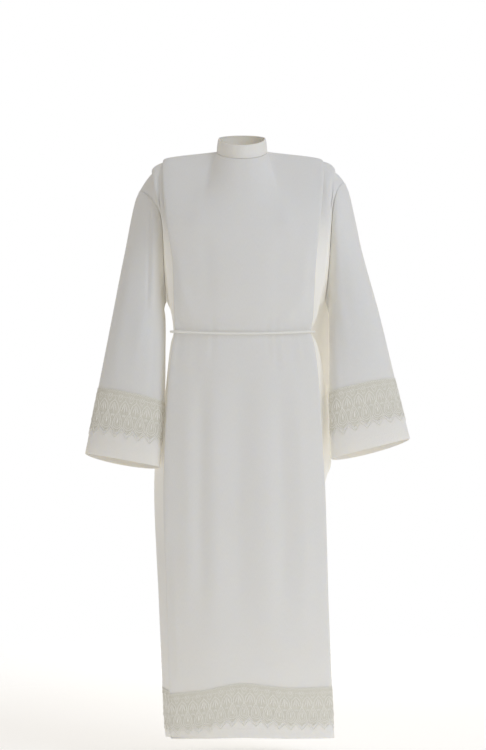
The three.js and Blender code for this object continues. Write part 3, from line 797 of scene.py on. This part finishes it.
sleeves = {}
for side, word in ((LEFT, "left"), (RIGHT, "right")):
    points = sleeve_points(side)
    for folds, facing in ((SLEEVE_FOLDS[side], -1), (SLEEVE_BACK_FOLDS[side], 1)):
        points = press_folds(points, outwards(points, True), folds, facing)
    points = seam_dip(points, outwards(points, True), [(0, 0)], roll=SLEEVE_ROLL)
    sleeves[word] = {"points": points, "cloth": sheet_object(f"sleeve_{word}_cloth", points, True)}

# %% [markdown]
# The collar is a low stand: two layers over a stiffener, so it keeps its line and is thicker than
# the rest. A strip could be bent round the neck by a modifier, but it has to meet the neckline all
# round, so its foot is the neckline itself. Its ends meet on the left shoulder, where it opens. It
# bellies out a little between the seam at its foot and the rolled edge at its top.

# %% Collar
COLLAR_TURNS, COLLAR_ROWS, COLLAR_BELLY = 96, 12, 0.8
TOP_ROLL, ROLL_PARTS = 1.0, 6  # how far the topmost of six parts of the collar turns in

turn = 2 * math.pi * np.arange(COLLAR_TURNS + 1) / COLLAR_TURNS
from_front = np.abs(turn - math.pi / 2)
collar_side = np.where((turn < math.pi / 2) | (turn > 1.5 * math.pi), LEFT, RIGHT)
angle = np.where(from_front > math.pi, 2 * math.pi - from_front, from_front)
foot = neck_point(angle, collar_side) + [0, 0, SEAM]
foot[0, 1] -= COLLAR_SLIT / 2
foot[-1, 1] += COLLAR_SLIT / 2
inward = np.array([0, SHOULDER_Y, 0]) - foot * [1, 1, 0]
inward /= np.linalg.norm(inward, axis=-1, keepdims=True)
collar_rows = []
for share in np.linspace(1, 0, COLLAR_ROWS):
    lean = COLLAR_LEAN * share - COLLAR_BELLY * math.sin(math.pi * share)
    lean += TOP_ROLL * max(0, share * ROLL_PARTS - (ROLL_PARTS - 1)) ** 2
    row = foot + inward * lean + [0, 0, COLLAR_HEIGHT * share]
    row[0, 1], row[-1, 1] = foot[0, 1], foot[-1, 1]
    collar_rows.append(row)
collar_points = np.array(collar_rows)
collar = sheet_object("collar_band", collar_points, wall=COLLAR_CLOTH)

# %% [markdown]
# The cord is three strands twisted together. A plain tube with a striped bump would have a smooth
# edge, so each strand is a curve of its own that winds round the cord's line. The number of turns
# is a whole one, so the ring closes. The cord lies on the front, turns in round the folds, and goes
# through the slits in the side seams to run on inside the back.

# %% Waist cord
CORD, STRAND, STRANDS = 6, 3.1, 3  # the cord's thickness, a strand's, and how many there are
STRAND_OFF = (CORD - STRAND) / 2
TWIST = 17  # length of one turn of the strands
CORD_STEP, ROUTE_STEPS = 2.4, 24
# From the middle of the front to the middle of the back: x to the left, x to the right, and y.
CORD_ROUTE = [
    [0, 0, -118], [86, 87, -111], [130, 132, -101], [158, 160, -89], [169, 171, -80],
    [172, 175, -66], [171, 174, -52], [161, 163, -36], [148, 150, -24], [136, 138, -2],
    [136, 138, 44], [130, 132, 88], [80, 81, 114], [0, 0, 122],
]


def cord_line():
    """The middle line of the cord in even steps, and its length."""
    right = [(x, y, WAIST_Z) for _, x, y in CORD_ROUTE]
    left = [(-x, y, WAIST_Z) for x, _, y in CORD_ROUTE[-2:0:-1]]
    ring = np.array(right + left, float)
    marks = np.concatenate([ring, ring[:1]])
    line = flow(marks, [even(ROUTE_STEPS)] * len(ring), ring[-1], ring[1])[:-1]
    line[:, 2] = cord_height(line[:, 0], line[:, 1])
    closed = np.r_[line, line[:1]]
    run = np.r_[0, np.cumsum(np.linalg.norm(np.diff(closed, axis=0), axis=-1))]
    steps = int(run[-1] / CORD_STEP)
    at = np.arange(steps) / steps * run[-1]
    return np.stack([np.interp(at, run, closed[:, n]) for n in range(3)], axis=-1), run[-1]


line, cord_length = cord_line()
ahead = np.roll(line, -1, axis=0) - np.roll(line, 1, axis=0)
up = np.array([0, 0, 1])
sideways = np.cross(ahead, up)
sideways /= np.linalg.norm(sideways, axis=-1, keepdims=True)
twist = 2 * math.pi * round(cord_length / TWIST) * np.arange(len(line)) / len(line)
curve = bpy.data.curves.new("waist_cord_strands", "CURVE")
curve.dimensions = "3D"
curve.bevel_depth = STRAND / 2 * MM
curve.bevel_resolution = 2
for strand in range(STRANDS):
    turned = (twist + 2 * math.pi * strand / STRANDS)[:, None]
    winding = line + STRAND_OFF * (sideways * np.cos(turned) + up * np.sin(turned))
    spline = curve.splines.new("POLY")
    spline.points.add(len(line) - 1)
    spline.points.foreach_set("co", np.c_[winding * MM, np.ones(len(line))].ravel())
    spline.use_cyclic_u = True
cord = bpy.data.objects.new("waist_cord_strands", curve)
bpy.context.collection.objects.link(cord)
make_active(cord)
bpy.ops.object.convert(target="MESH")
bpy.ops.object.shade_smooth()
print("cord", round(cord_length), "mm long,", len(cord.data.polygons), "faces")

# %% [markdown]
# The lace is embroidery on a dense net. Its pattern repeats every 28 mm, so one repeat is drawn
# once, flat, as thick threads: curves with a round bevel whose radius swells and thins as padded
# stitches do. It is drawn as two figures. One hangs from each point of the lower edge: a small V
# above, a drop with a seed in it, and the scallops of the point. The other stands between two
# points: a fan of three petals under a pair of pointed arches that run down into the drops.

# %% Drawing the threads, in millimetres from the upper edge down
THREAD_ROUNDNESS = 0.8  # threads lie a little flat


def arc_of(points, radius):
    """A thread of even thickness through (x, y) points."""
    return [(x, y, radius) for x, y in points]


def petal(x0, y0, x1, y1, radius):
    """A padded stitch, thin where it starts and full towards its end."""
    swell = (x0 + (x1 - x0) * 0.65, y0 + (y1 - y0) * 0.65)
    return [(x0, y0, radius * 0.3), (*swell, radius), (x1, y1, radius * 0.45)]


def both_sides(*threads):
    return [*threads, *([(-x, y, r) for x, y, r in points] for points in threads)]


def drop(width, top, bottom, radius):
    """A drop: pointed above, round below. Each side is one thread."""
    low = bottom - width
    return both_sides(
        arc_of([(0, top), (width * 0.45, top + (low - top) * 0.3), (width * 0.92, low - 2),
                (width * 0.8, low + width * 0.62), (0, bottom)], radius)
    )


POINT_FIGURE = [
    arc_of([(-14, 0), (0, 0), (14, 0)], 1.0),
    arc_of([(-14, 4.5), (-10.5, 1.6), (-7, 4.5), (-3.5, 1.6), (0, 4.5),
            (3.5, 1.6), (7, 4.5), (10.5, 1.6), (14, 4.5)], 0.45),
    *both_sides(petal(0.6, 17, 5.4, 9, 1.3), petal(0.4, 21, 3.0, 24.5, 0.7)),
    petal(0, 12, 0, 8, 1.1),
    *drop(11.6, 46, 82, 0.95),
    *drop(7.2, 51, 77.5, 0.6),
    petal(0, 58, 0, 71, 2.2),
    *both_sides(petal(9, 51, 12, 56, 0.9), petal(3.2, 56, 4.4, 63, 0.6)),
    *both_sides(arc_of([(14, 86), (7.5, 92.5), (0, 101)], 0.85)),
    *both_sides(arc_of([(13.6, 78), (7, 84.5), (0, 91.5)], 0.9)),
]
BETWEEN_FIGURE = [
    petal(0, 26.5, 0, 47.5, 1.6),
    *both_sides(petal(1.2, 27, 7.4, 44, 1.6)),
    *both_sides(arc_of([(0, 21), (4.2, 24.6), (9, 30), (11.6, 37), (12, 43), (14, 48)], 1.05)),
    *both_sides(petal(1.2, 49.5, 3.0, 57, 0.9)),
    petal(0, 50, 0, 55, 1.0),
    petal(0, 74, 0, 79, 1.1),
    *both_sides(arc_of([(0, 14.5), (3.4, 12), (8, 15), (9.6, 20), (14, 25)], 0.55)),
    petal(0, 16, 0, 20, 1.0),
]


def draw_figure(name, threads):
    """Draws one figure flat as bevelled curves and returns its points (in mm) and its faces."""
    curve = bpy.data.curves.new(name, "CURVE")
    curve.dimensions = "3D"
    curve.bevel_depth = MM
    curve.bevel_resolution = 0
    curve.use_fill_caps = True
    for points in threads:
        spline = curve.splines.new("BEZIER")
        spline.bezier_points.add(len(points) - 1)
        spline.resolution_u = 3
        for knot, (x, y, radius) in zip(spline.bezier_points, points):
            knot.co = (x * MM, y * MM, 0)
            knot.radius = radius
            knot.handle_left_type = knot.handle_right_type = "AUTO"
    figure = bpy.data.objects.new(name, curve)
    bpy.context.collection.objects.link(figure)
    make_active(figure)
    bpy.ops.object.convert(target="MESH")
    mesh = figure.data
    place = np.zeros(len(mesh.vertices) * 3)
    mesh.vertices.foreach_get("co", place)
    faces = [tuple(face.vertices) for face in mesh.polygons]
    bpy.data.objects.remove(figure)
    print(name, "has", len(threads), "threads and", len(faces), "faces")
    return place.reshape(-1, 3) / MM * [1, 1, THREAD_ROUNDNESS], faces


figures = [
    (0.5, *draw_figure("point_figure", POINT_FIGURE)),
    (0.0, *draw_figure("between_figure", BETWEEN_FIGURE)),
]

# %% [markdown]
# Net and threads are then laid on the cloth: a place on the flat lace becomes a place on the sheet,
# so the lace follows every fold. The net is a sheet of its own, which ends in shallow scallops below
# the drops. Past them only threads run on, over the bare cloth, to the points.

# %% Laying flat points on a sheet
NET_GAP, NET, THREAD_RISE = 0.3, 0.6, 1.0  # heights over the cloth
NET_LOW, NET_SCALLOP = 0.79, 0.085  # where the net ends between two drops, and how far it dips


def lace_ground(points, out, top_row, tip_row, closed):
    """The stretch of a sheet that carries lace, with its length measured between the pleats."""
    if closed:
        points = np.concatenate([points, points[:, :1]], axis=1)
        out = np.concatenate([out, out[:, :1]], axis=1)
    run = running(points, 1)[(top_row + tip_row) // 2]
    repeats = round(run[-1] / LACE_REPEAT)
    return {"points": points, "out": out, "run": run, "repeats": repeats, "closed": closed,
            "top": top_row, "height": tip_row - top_row}


def lay(ground, across, down, height):
    """Places on the sheet: across in repeats, down from 0 at the upper edge to 1 at the points."""
    column = np.interp(across / ground["repeats"] * ground["run"][-1], ground["run"],
                       np.arange(len(ground["run"])))
    row = ground["top"] + down * ground["height"]
    i, j = np.floor(row).astype(int), np.minimum(np.floor(column).astype(int), len(ground["run"]) - 2)
    a, b = (row - i)[..., None], (column - j)[..., None]

    def blend(grid):
        upper = grid[i, j] * (1 - b) + grid[i, j + 1] * b
        lower = grid[i + 1, j] * (1 - b) + grid[i + 1, j + 1] * b
        return upper * (1 - a) + lower * a

    return blend(ground["points"]) + blend(ground["out"]) * np.asarray(height)[..., None]


# %% The net and its threads
NET_COLUMNS, NET_ROWS = 14, 18


def net_piece(name, ground):
    columns = ground["repeats"] * NET_COLUMNS + (0 if ground["closed"] else 1)
    across = np.arange(columns) / NET_COLUMNS
    notch = np.abs(2 * (across % 1) - 1)  # 1 between two drops and 0 below a drop
    lower = NET_LOW + NET_SCALLOP * (1 - notch**2)
    share = np.linspace(0, 1, NET_ROWS + 1)[:, None]
    across, lower = across[None] + 0 * share, lower[None] * share
    points = lay(ground, across, lower, np.full(across.shape, NET_GAP + NET))
    return sheet_object(name, points, ground["closed"], NET)


def thread_piece(name, ground):
    """All the threads of one band as a single mesh."""
    every_point, every_face, uv = [], [], []
    for shift, place, faces in figures:
        first = 0 if shift or ground["closed"] else 1  # an open band starts without a half figure
        for repeat in range(first, ground["repeats"]):
            offset = sum(len(p) for p in every_point)
            across = repeat + shift + place[:, 0] / LACE_REPEAT
            if ground["closed"]:
                across = across % ground["repeats"]
            else:
                across = np.clip(across, 0, ground["repeats"])
            down = np.clip(place[:, 1] / LACE_HEIGHT, 0, 1)
            every_point.append(lay(ground, across, down, THREAD_RISE + place[:, 2]))
            every_face += [tuple(v + offset for v in face) for face in faces]
            uv.append(np.stack([across * LACE_REPEAT, down * LACE_HEIGHT], axis=-1) * MM)
    corners = [v for face in every_face for v in face]
    piece = mesh_object(name, np.concatenate(every_point), every_face, np.concatenate(uv)[corners])
    make_active(piece)
    bpy.ops.object.shade_smooth()
    print(name, "has", len(every_face), "faces in", ground["repeats"], "repeats")
    return piece


hem_rows = [len(YOKE_T) + int(np.argmin(np.abs(BODY_Z - (HEM_Z + height))))
            for height in (LACE_TOP, LACE_TIP)]
cuff_top = sum(len(shares) for shares in SLEEVE_SHARES[:4])
cuff_rows = [cuff_top, cuff_top + round(CUFF_LACE_TIP * CUFF_STEPS)]
bands = {
    "hem_front": (folded_front, hem_rows, False),
    "hem_back": (folded_back, hem_rows, False),
    "cuff_left": (sleeves["left"]["points"], cuff_rows, True),
    "cuff_right": (sleeves["right"]["points"], cuff_rows, True),
}
lace = {}
for word, (points, rows, closed) in bands.items():
    ground = lace_ground(points, outwards(points, closed), *rows, closed)
    lace[word] = {
        "net": net_piece(f"lace_{word}_net", ground),
        "threads": thread_piece(f"lace_{word}_threads", ground),
        "length": ground["run"][-1],
    }

# %% [markdown]
# White cloth is hardly ever one flat white. Up close it has a fine diagonal rib from its weave, a
# few thicker threads, and a soft bloom where light grazes the fibres. The rib and the stitches are
# used by several finishes, so each is a small node group that reads the cloth's own UV map.


# %% Helpers for nodes
def fill(tree, node, inputs):
    """Fills sockets, by name or by number, with a value or with a link from another socket."""
    for name, value in inputs.items():
        if isinstance(value, bpy.types.NodeSocket):
            tree.links.new(value, node.inputs[name])
        else:
            node.inputs[name].default_value = value
    return node


def add(tree, kind, inputs=None, **settings):
    """Adds a shader node, sets it up and fills its sockets."""
    made = tree.nodes.new("ShaderNode" + kind)
    for name, value in settings.items():
        setattr(made, name, value)
    return fill(tree, made, inputs or {})


def calc(tree, operation, a, b=0.0, c=0.0):
    return add(tree, "Math", {0: a, 1: b, 2: c}, operation=operation).outputs[0]


def new_group(name, inputs, outputs):
    tree = bpy.data.node_groups.new(name, "ShaderNodeTree")
    for direction, sockets in (("INPUT", inputs), ("OUTPUT", outputs)):
        for socket, form in sockets.items():
            tree.interface.new_socket(socket, in_out=direction, socket_type="NodeSocket" + form)
    return tree, tree.nodes.new("NodeGroupInput"), tree.nodes.new("NodeGroupOutput")


def use_group(tree, group, inputs):
    return add(tree, "Group", inputs, node_tree=group)


# %% The twill weave
def twill_group():
    tree, given, result = new_group(
        "twill weave", {"Cloth": "Vector", "Rib": "Float"}, {"Height": "Float", "Tone": "Float"}
    )
    place = add(tree, "SeparateXYZ", {0: given.outputs["Cloth"]})
    across, up = place.outputs["X"], place.outputs["Y"]
    turns = calc(tree, "DIVIDE", 2 * math.pi, given.outputs["Rib"])
    rib = calc(tree, "SINE", calc(tree, "MULTIPLY", calc(tree, "ADD", across, up), turns))
    yarn = calc(tree, "SINE", calc(tree, "MULTIPLY", up, calc(tree, "MULTIPLY", turns, 1.7)))
    stretched = add(tree, "Mapping", {"Vector": given.outputs["Cloth"], "Scale": (1500, 110, 1)})
    slub = add(tree, "TexNoise", {"Vector": stretched.outputs[0], "Scale": 1.0, "Detail": 2.0})
    height = calc(tree, "MULTIPLY_ADD", yarn, 0.25, rib)
    height = calc(tree, "MULTIPLY_ADD", slub.outputs["Fac"], 1.4, height)
    tone = calc(tree, "MULTIPLY_ADD", slub.outputs["Fac"], 0.10, 0.95)
    fill(tree, result, {"Height": height, "Tone": calc(tree, "MULTIPLY_ADD", rib, 0.012, tone)})
    return tree


twill = twill_group()


# %% A row of stitches
GROOVE_HALF, THREAD_HALF, THREAD_EDGE = 0.0022, 0.0003, 0.0006  # in metres


def stitch_group():
    """A row of stitches at one height of the cloth: a shallow groove with raised stitches in it."""
    tree, given, result = new_group(
        "row of stitches",
        {"Cloth": "Vector", "Line": "Float", "Stitch": "Float"},
        {"Height": "Float"},
    )
    place = add(tree, "SeparateXYZ", {0: given.outputs["Cloth"]})
    away = calc(tree, "ABSOLUTE", calc(tree, "SUBTRACT", place.outputs["Y"], given.outputs["Line"]))
    groove = add(tree, "MapRange", {"Value": away, "From Min": 0.0, "From Max": GROOVE_HALF,
                                    "To Min": 1.0, "To Max": 0.0}, interpolation_type="SMOOTHSTEP")
    thread = add(tree, "MapRange", {"Value": away, "From Min": THREAD_HALF, "From Max": THREAD_EDGE,
                                    "To Min": 1.0, "To Max": 0.0})
    turns = calc(tree, "DIVIDE", place.outputs["X"], given.outputs["Stitch"])
    beat = calc(tree, "SINE", calc(tree, "MULTIPLY", turns, 2 * math.pi))
    sewn = add(tree, "MapRange", {"Value": beat, "From Min": -0.7, "From Max": -0.3})
    mask = calc(tree, "MULTIPLY", thread.outputs[0], sewn.outputs[0])
    height = calc(tree, "SUBTRACT", calc(tree, "MULTIPLY", mask, 0.9), groove.outputs[0])
    fill(tree, result, {"Height": height})
    return tree


stitches = stitch_group()

# %% [markdown]
# The cloth is a warm white wool and polyester, matt with a little sheen. Its colour drifts by a
# hair over the width of a hand, as pressed and worn cloth does. Where it is sewn down, at the hems
# and round the collar, rows of stitches show.

# %% White cloth
CLOTH_WHITE = (0.90, 0.885, 0.84)
SHADE_WHITE = (0.87, 0.845, 0.785)
# GLOW_WHITE and GLOW_LIGHT are painted light: a lighter cream colour and a faint glow where a single
# layer hangs free
GLOW_WHITE = (1.0, 0.97, 0.88)
GLOW_LIGHT, GLOW_STRENGTH = (1.0, 0.92, 0.79), 0.09
RIB, STITCH = 0.0011, 0.0028  # from one rib or stitch to the next, in metres
WEAVE_DEPTH, STITCH_DEPTH, CRUMPLE_DEPTH = 0.00004, 0.0002, 0.0012


def blend_colour(tree, kind, factor, first, second):
    mixed = add(tree, "Mix", data_type="RGBA", blend_type=kind)
    for socket, value in ((0, factor), (6, first), (7, second)):
        if isinstance(value, bpy.types.NodeSocket):
            tree.links.new(value, mixed.inputs[socket])
        else:
            mixed.inputs[socket].default_value = (*value, 1) if socket else value
    return mixed.outputs[2]


def finish_material(name):
    material = bpy.data.materials.new(name)
    material.use_nodes = True
    return material, material.node_tree, material.node_tree.nodes["Principled BSDF"]


def white_cloth(name, lines, glows=False):
    """White cloth with rows of stitches at the given heights over its lower edge, in metres."""
    material, tree, surface = finish_material(name)
    flat = add(tree, "UVMap", uv_map="cloth").outputs["UV"]
    weave = use_group(tree, twill, {"Cloth": flat, "Rib": RIB})
    where = add(tree, "TexCoord").outputs["Object"]
    drift = add(tree, "TexNoise", {"Vector": where, "Scale": 5.0, "Detail": 3.0, "Roughness": 0.55})
    colour = blend_colour(tree, "MIX", drift.outputs["Fac"], CLOTH_WHITE, SHADE_WHITE)
    if glows:
        # painted light: where a single layer hangs free the cloth is painted a lighter cream and glows
        # faintly
        through = add(tree, "Attribute", attribute_name="painted_glow").outputs["Fac"]
        colour = blend_colour(tree, "MIX", through, colour, GLOW_WHITE)
        glow = blend_colour(tree, "MIX", through, (0, 0, 0), GLOW_LIGHT)
        fill(tree, surface, {"Emission Color": glow, "Emission Strength": GLOW_STRENGTH})
    tone = add(tree, "CombineColor", {"Red": weave.outputs["Tone"], "Green": weave.outputs["Tone"],
                                      "Blue": weave.outputs["Tone"]}).outputs[0]
    colour = blend_colour(tree, "MULTIPLY", 1.0, colour, tone)
    height = calc(tree, "MULTIPLY", weave.outputs["Height"], WEAVE_DEPTH)
    for line in lines:
        row = use_group(tree, stitches, {"Cloth": flat, "Line": line, "Stitch": STITCH})
        height = calc(tree, "MULTIPLY_ADD", row.outputs["Height"], STITCH_DEPTH, height)
    crumple = add(tree, "TexNoise", {"Vector": where, "Scale": 22.0, "Detail": 4.0})
    height = calc(tree, "MULTIPLY_ADD", crumple.outputs["Fac"], CRUMPLE_DEPTH, height)
    bump = add(tree, "Bump", {"Height": height, "Strength": 0.7, "Distance": 1.0})
    rough = calc(tree, "MULTIPLY_ADD", drift.outputs["Fac"], 0.12, 0.72)
    fill(tree, surface, {
        "Base Color": colour, "Normal": bump.outputs["Normal"], "Roughness": rough,
        "Sheen Weight": 0.25, "Sheen Roughness": 0.5, "Specular IOR Level": 0.3,
        "Subsurface Weight": 0.5, "Subsurface Radius": (1.0, 0.85, 0.6), "Subsurface Scale": 0.006,
    })
    return material


HEM_TURN, COLLAR_EDGE = 0.024, 0.004  # where the hem and the collar are stitched
body_cloth = white_cloth("white cloth of the body", [HEM_TURN], glows=True)
sleeve_cloth = white_cloth("white cloth of the sleeves", [HEM_TURN])
collar_cloth = white_cloth("white cloth of the collar", [COLLAR_EDGE, COLLAR_HEIGHT * MM - COLLAR_EDGE])

# %% [markdown]
# Lace is embroidered with an ivory thread that is a shade warmer than the cloth. The threads have a
# silky gloss with fine turns across them, and the net between them is a close mesh of tiny holes.
# The holes are painted a darker colour, painted shade where the cloth shows through them, so the net
# looks a little darker.

# %% Lace and cord
IVORY_THREAD = (0.985, 0.975, 0.92)
IVORY_POINT = (0.90, 0.885, 0.82)
POINTS_FROM, POINTS_TO = 0.079, 0.086  # on the lace's own map, in metres from its upper edge
IVORY_NET = (0.86, 0.847, 0.765)
# the colour of the net's holes is painted shade, where the cloth under the net shows through
NET_HOLE_SHADE = (0.67, 0.652, 0.565)
MESH_PER_METRE = 700.0
CORD_LIGHT, CORD_DARK = (0.93, 0.925, 0.90), (0.84, 0.83, 0.79)


def lace_thread():
    material, tree, surface = finish_material("ivory lace thread")
    flat = add(tree, "UVMap", uv_map="cloth").outputs["UV"]
    turns = add(tree, "TexWave", {"Vector": flat, "Scale": 260.0, "Distortion": 2.0, "Detail": 2.0},
                bands_direction="DIAGONAL")
    colour = blend_colour(tree, "MIX", turns.outputs["Fac"], IVORY_THREAD,
                          tuple(0.9 * c for c in IVORY_THREAD))
    down = add(tree, "SeparateXYZ", {0: flat}).outputs["Y"]
    points = add(tree, "MapRange", {"Value": down, "From Min": POINTS_FROM, "From Max": POINTS_TO})
    colour = blend_colour(tree, "MIX", points.outputs[0], colour, IVORY_POINT)
    bump = add(tree, "Bump", {"Height": turns.outputs["Fac"], "Strength": 0.5, "Distance": 0.0003})
    fill(tree, surface, {"Base Color": colour, "Normal": bump.outputs["Normal"],
                         "Roughness": 0.5, "Sheen Weight": 0.2})
    return material


def lace_net():
    material, tree, surface = finish_material("ivory lace net")
    flat = add(tree, "UVMap", uv_map="cloth").outputs["UV"]
    cells = add(tree, "TexVoronoi", {"Vector": flat, "Scale": MESH_PER_METRE},
                feature="DISTANCE_TO_EDGE", voronoi_dimensions="2D")
    # the mesh of holes is the net's own and sinks as a bump; its darker colour is painted shade
    hole_and_shade = add(tree, "MapRange", {"Value": cells.outputs["Distance"], "From Min": 0.1, "From Max": 0.35})
    colour = blend_colour(tree, "MIX", hole_and_shade.outputs[0], IVORY_NET, NET_HOLE_SHADE)
    height = calc(tree, "MULTIPLY", hole_and_shade.outputs[0], -0.0005)
    bump = add(tree, "Bump", {"Height": height, "Strength": 0.8, "Distance": 1.0})
    fill(tree, surface, {"Base Color": colour, "Normal": bump.outputs["Normal"],
                         "Roughness": 0.8, "Sheen Weight": 0.15})
    return material


def cord_finish():
    material, tree, surface = finish_material("white cord")
    where = add(tree, "TexCoord").outputs["Object"]
    fibres = add(tree, "TexNoise", {"Vector": where, "Scale": 900.0, "Detail": 2.0})
    colour = blend_colour(tree, "MIX", fibres.outputs["Fac"], CORD_LIGHT, CORD_DARK)
    bump = add(tree, "Bump", {"Height": fibres.outputs["Fac"], "Strength": 0.5, "Distance": 0.0005})
    fill(tree, surface, {"Base Color": colour, "Normal": bump.outputs["Normal"], "Roughness": 0.6})
    return material


# %% Give each piece its finish
THREAD, NET_FINISH = lace_thread(), lace_net()
SLEEVE_PIECES = [sleeves["left"]["cloth"], sleeves["right"]["cloth"]]
finishes = [(body_front, body_cloth), (body_back, body_cloth), (collar, collar_cloth)]
finishes += [(piece, sleeve_cloth) for piece in SLEEVE_PIECES] + [(cord, cord_finish())]
for band in lace.values():
    finishes += [(band["net"], NET_FINISH), (band["threads"], THREAD)]
for piece, material in finishes:
    piece.data.materials.clear()
    piece.data.materials.append(material)
print("pieces finished:", len(finishes))

# %% [markdown]
# The plain solid that each piece stands for is hidden, and the piece hangs from the model's root.
# How large its cloth was cut before it was sewn and hung is then worked out, and printed for the
# sheets.

# %% What each piece stands for
replaced = {
    body_front: ("body_front", "white_cloth"),
    body_back: ("body_back", "white_cloth"),
    collar: ("collar", "white_cloth"),
    sleeves["left"]["cloth"]: ("sleeve_left", "white_cloth"),
    sleeves["right"]["cloth"]: ("sleeve_right", "white_cloth"),
    cord: ("waist_cord", "cord"),
}
for word, band in lace.items():
    replaced[band["net"]] = (f"lace_{word}", "lace")
for piece, (node, slot) in replaced.items():
    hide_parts(node)
    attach(piece, "root")
for band in lace.values():
    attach(band["threads"], "root")

# %% The size of each cut
def cut_size(points, closed=False):
    """The widest row, the longest column and the area of a sheet, in metres."""
    uv = cloth_uv(points, closed)
    width, length = np.ptp(uv[..., 0], axis=1).max(), uv[..., 1].max()
    a, b = np.diff(points, axis=0)[:, :-1], np.diff(points, axis=1)[:-1]
    area = np.linalg.norm(np.cross(a, b), axis=-1).sum() * MM * MM
    return (float(width), float(length)), float(min(area, width * length))


sheets = [
    (body_front, folded_front, False, ["body_back_cloth", "collar_band"]),
    (body_back, folded_back, False, ["body_front_cloth", "collar_band"]),
    (sleeves["left"]["cloth"], sleeves["left"]["points"], True, ["body_front_cloth"]),
    (sleeves["right"]["cloth"], sleeves["right"]["points"], True, ["body_front_cloth"]),
    (collar, collar_points, False, ["body_front_cloth", "body_back_cloth"]),
]
for piece, points, closed, rests_on in sheets:
    flat, area = cut_size(points, closed)
    print(piece.name, "cut", [round(x, 3) for x in flat], "area", round(area, 3))
LACE_CUT, LACE_FILLS = 1.08, 0.9  # a strip is cut deeper than it hangs, and its points leave gaps
for word, band in lace.items():
    flat = (float(band["length"] * MM), LACE_HEIGHT * LACE_CUT * MM)
    area = flat[0] * flat[1] * LACE_FILLS

# %% [markdown]
# The photograph has a bright even studio with a white ground. A pale floor under the hem catches a
# soft shadow. The world is white where the camera looks at it and dimmer where it lights the
# cloth, because white cloth on white shows its form only by shade.

# %% Floor
FLOOR_Z = -1.5
FLOOR_RADIUS, FLOOR_FADES = 3.0, 1.1  # the floor fades into the white ground between the two

bpy.ops.mesh.primitive_circle_add(vertices=64, radius=FLOOR_RADIUS, fill_type="NGON",
                                  location=(0, 0, FLOOR_Z))
floor = bpy.context.object
floor.name = "floor"
material, tree, surface = finish_material("pale floor")
where = add(tree, "TexCoord").outputs["Object"]
away = add(tree, "VectorMath", {0: where}, operation="LENGTH").outputs["Value"]
seen = add(tree, "MapRange", {"Value": away, "From Min": FLOOR_FADES, "From Max": FLOOR_RADIUS,
                              "To Min": 1.0, "To Max": 0.0}, interpolation_type="SMOOTHSTEP")
fill(tree, surface, {"Alpha": seen.outputs[0], "Base Color": (0.9, 0.9, 0.895, 1), "Roughness": 0.9,
                     "Emission Color": (1, 1, 1, 1), "Emission Strength": 0.3})
floor.data.materials.append(material)

# %% Lights
AMBIENT, AMBIENT_COLOUR = 0.55, (1.0, 0.957, 0.902, 1)
KEY = {"at": (2.7, -2.9, 0.1), "size": 2.0, "power": 25, "colour": (0.93, 0.96, 1.0)}
TOP = {"at": (1.5, -1.4, 1.5), "size": 1.2, "power": 11, "colour": (0.63, 0.76, 1.0)}
BACK_LIGHT = {"at": (0.6, 3.0, -0.6), "size": 2.4, "power": 33, "colour": (1, 0.96, 0.89)}
AIM = (0, 0, -0.75)


def soft_light(name, at, size, power, colour):
    bpy.ops.object.light_add(type="AREA", location=at)
    light = bpy.context.object
    light.name = name
    light.data.size = size
    light.data.energy = power
    light.data.color = colour
    toward = np.array(AIM) - np.array(at)
    flat = math.hypot(toward[0], toward[1])
    light.rotation_euler = (math.atan2(flat, -toward[2]), 0, math.atan2(-toward[0], toward[1]))


soft_light("key light", **KEY)
soft_light("top light", **TOP)
soft_light("back light", **BACK_LIGHT)

# %% World
world = bpy.data.worlds.new("studio")
bpy.context.scene.world = world
world.use_nodes = True
tree = world.node_tree
dim = fill(tree, tree.nodes["Background"], {"Color": AMBIENT_COLOUR, "Strength": AMBIENT})
bright = add(tree, "Background", {"Color": (1, 1, 1, 1)})
ray = add(tree, "LightPath")
choose = add(tree, "MixShader", {0: ray.outputs["Is Camera Ray"], 1: dim.outputs[0],
                                 2: bright.outputs[0]})
fill(tree, tree.nodes["World Output"], {"Surface": choose.outputs[0]})
bpy.context.scene.view_settings.view_transform = "Standard"
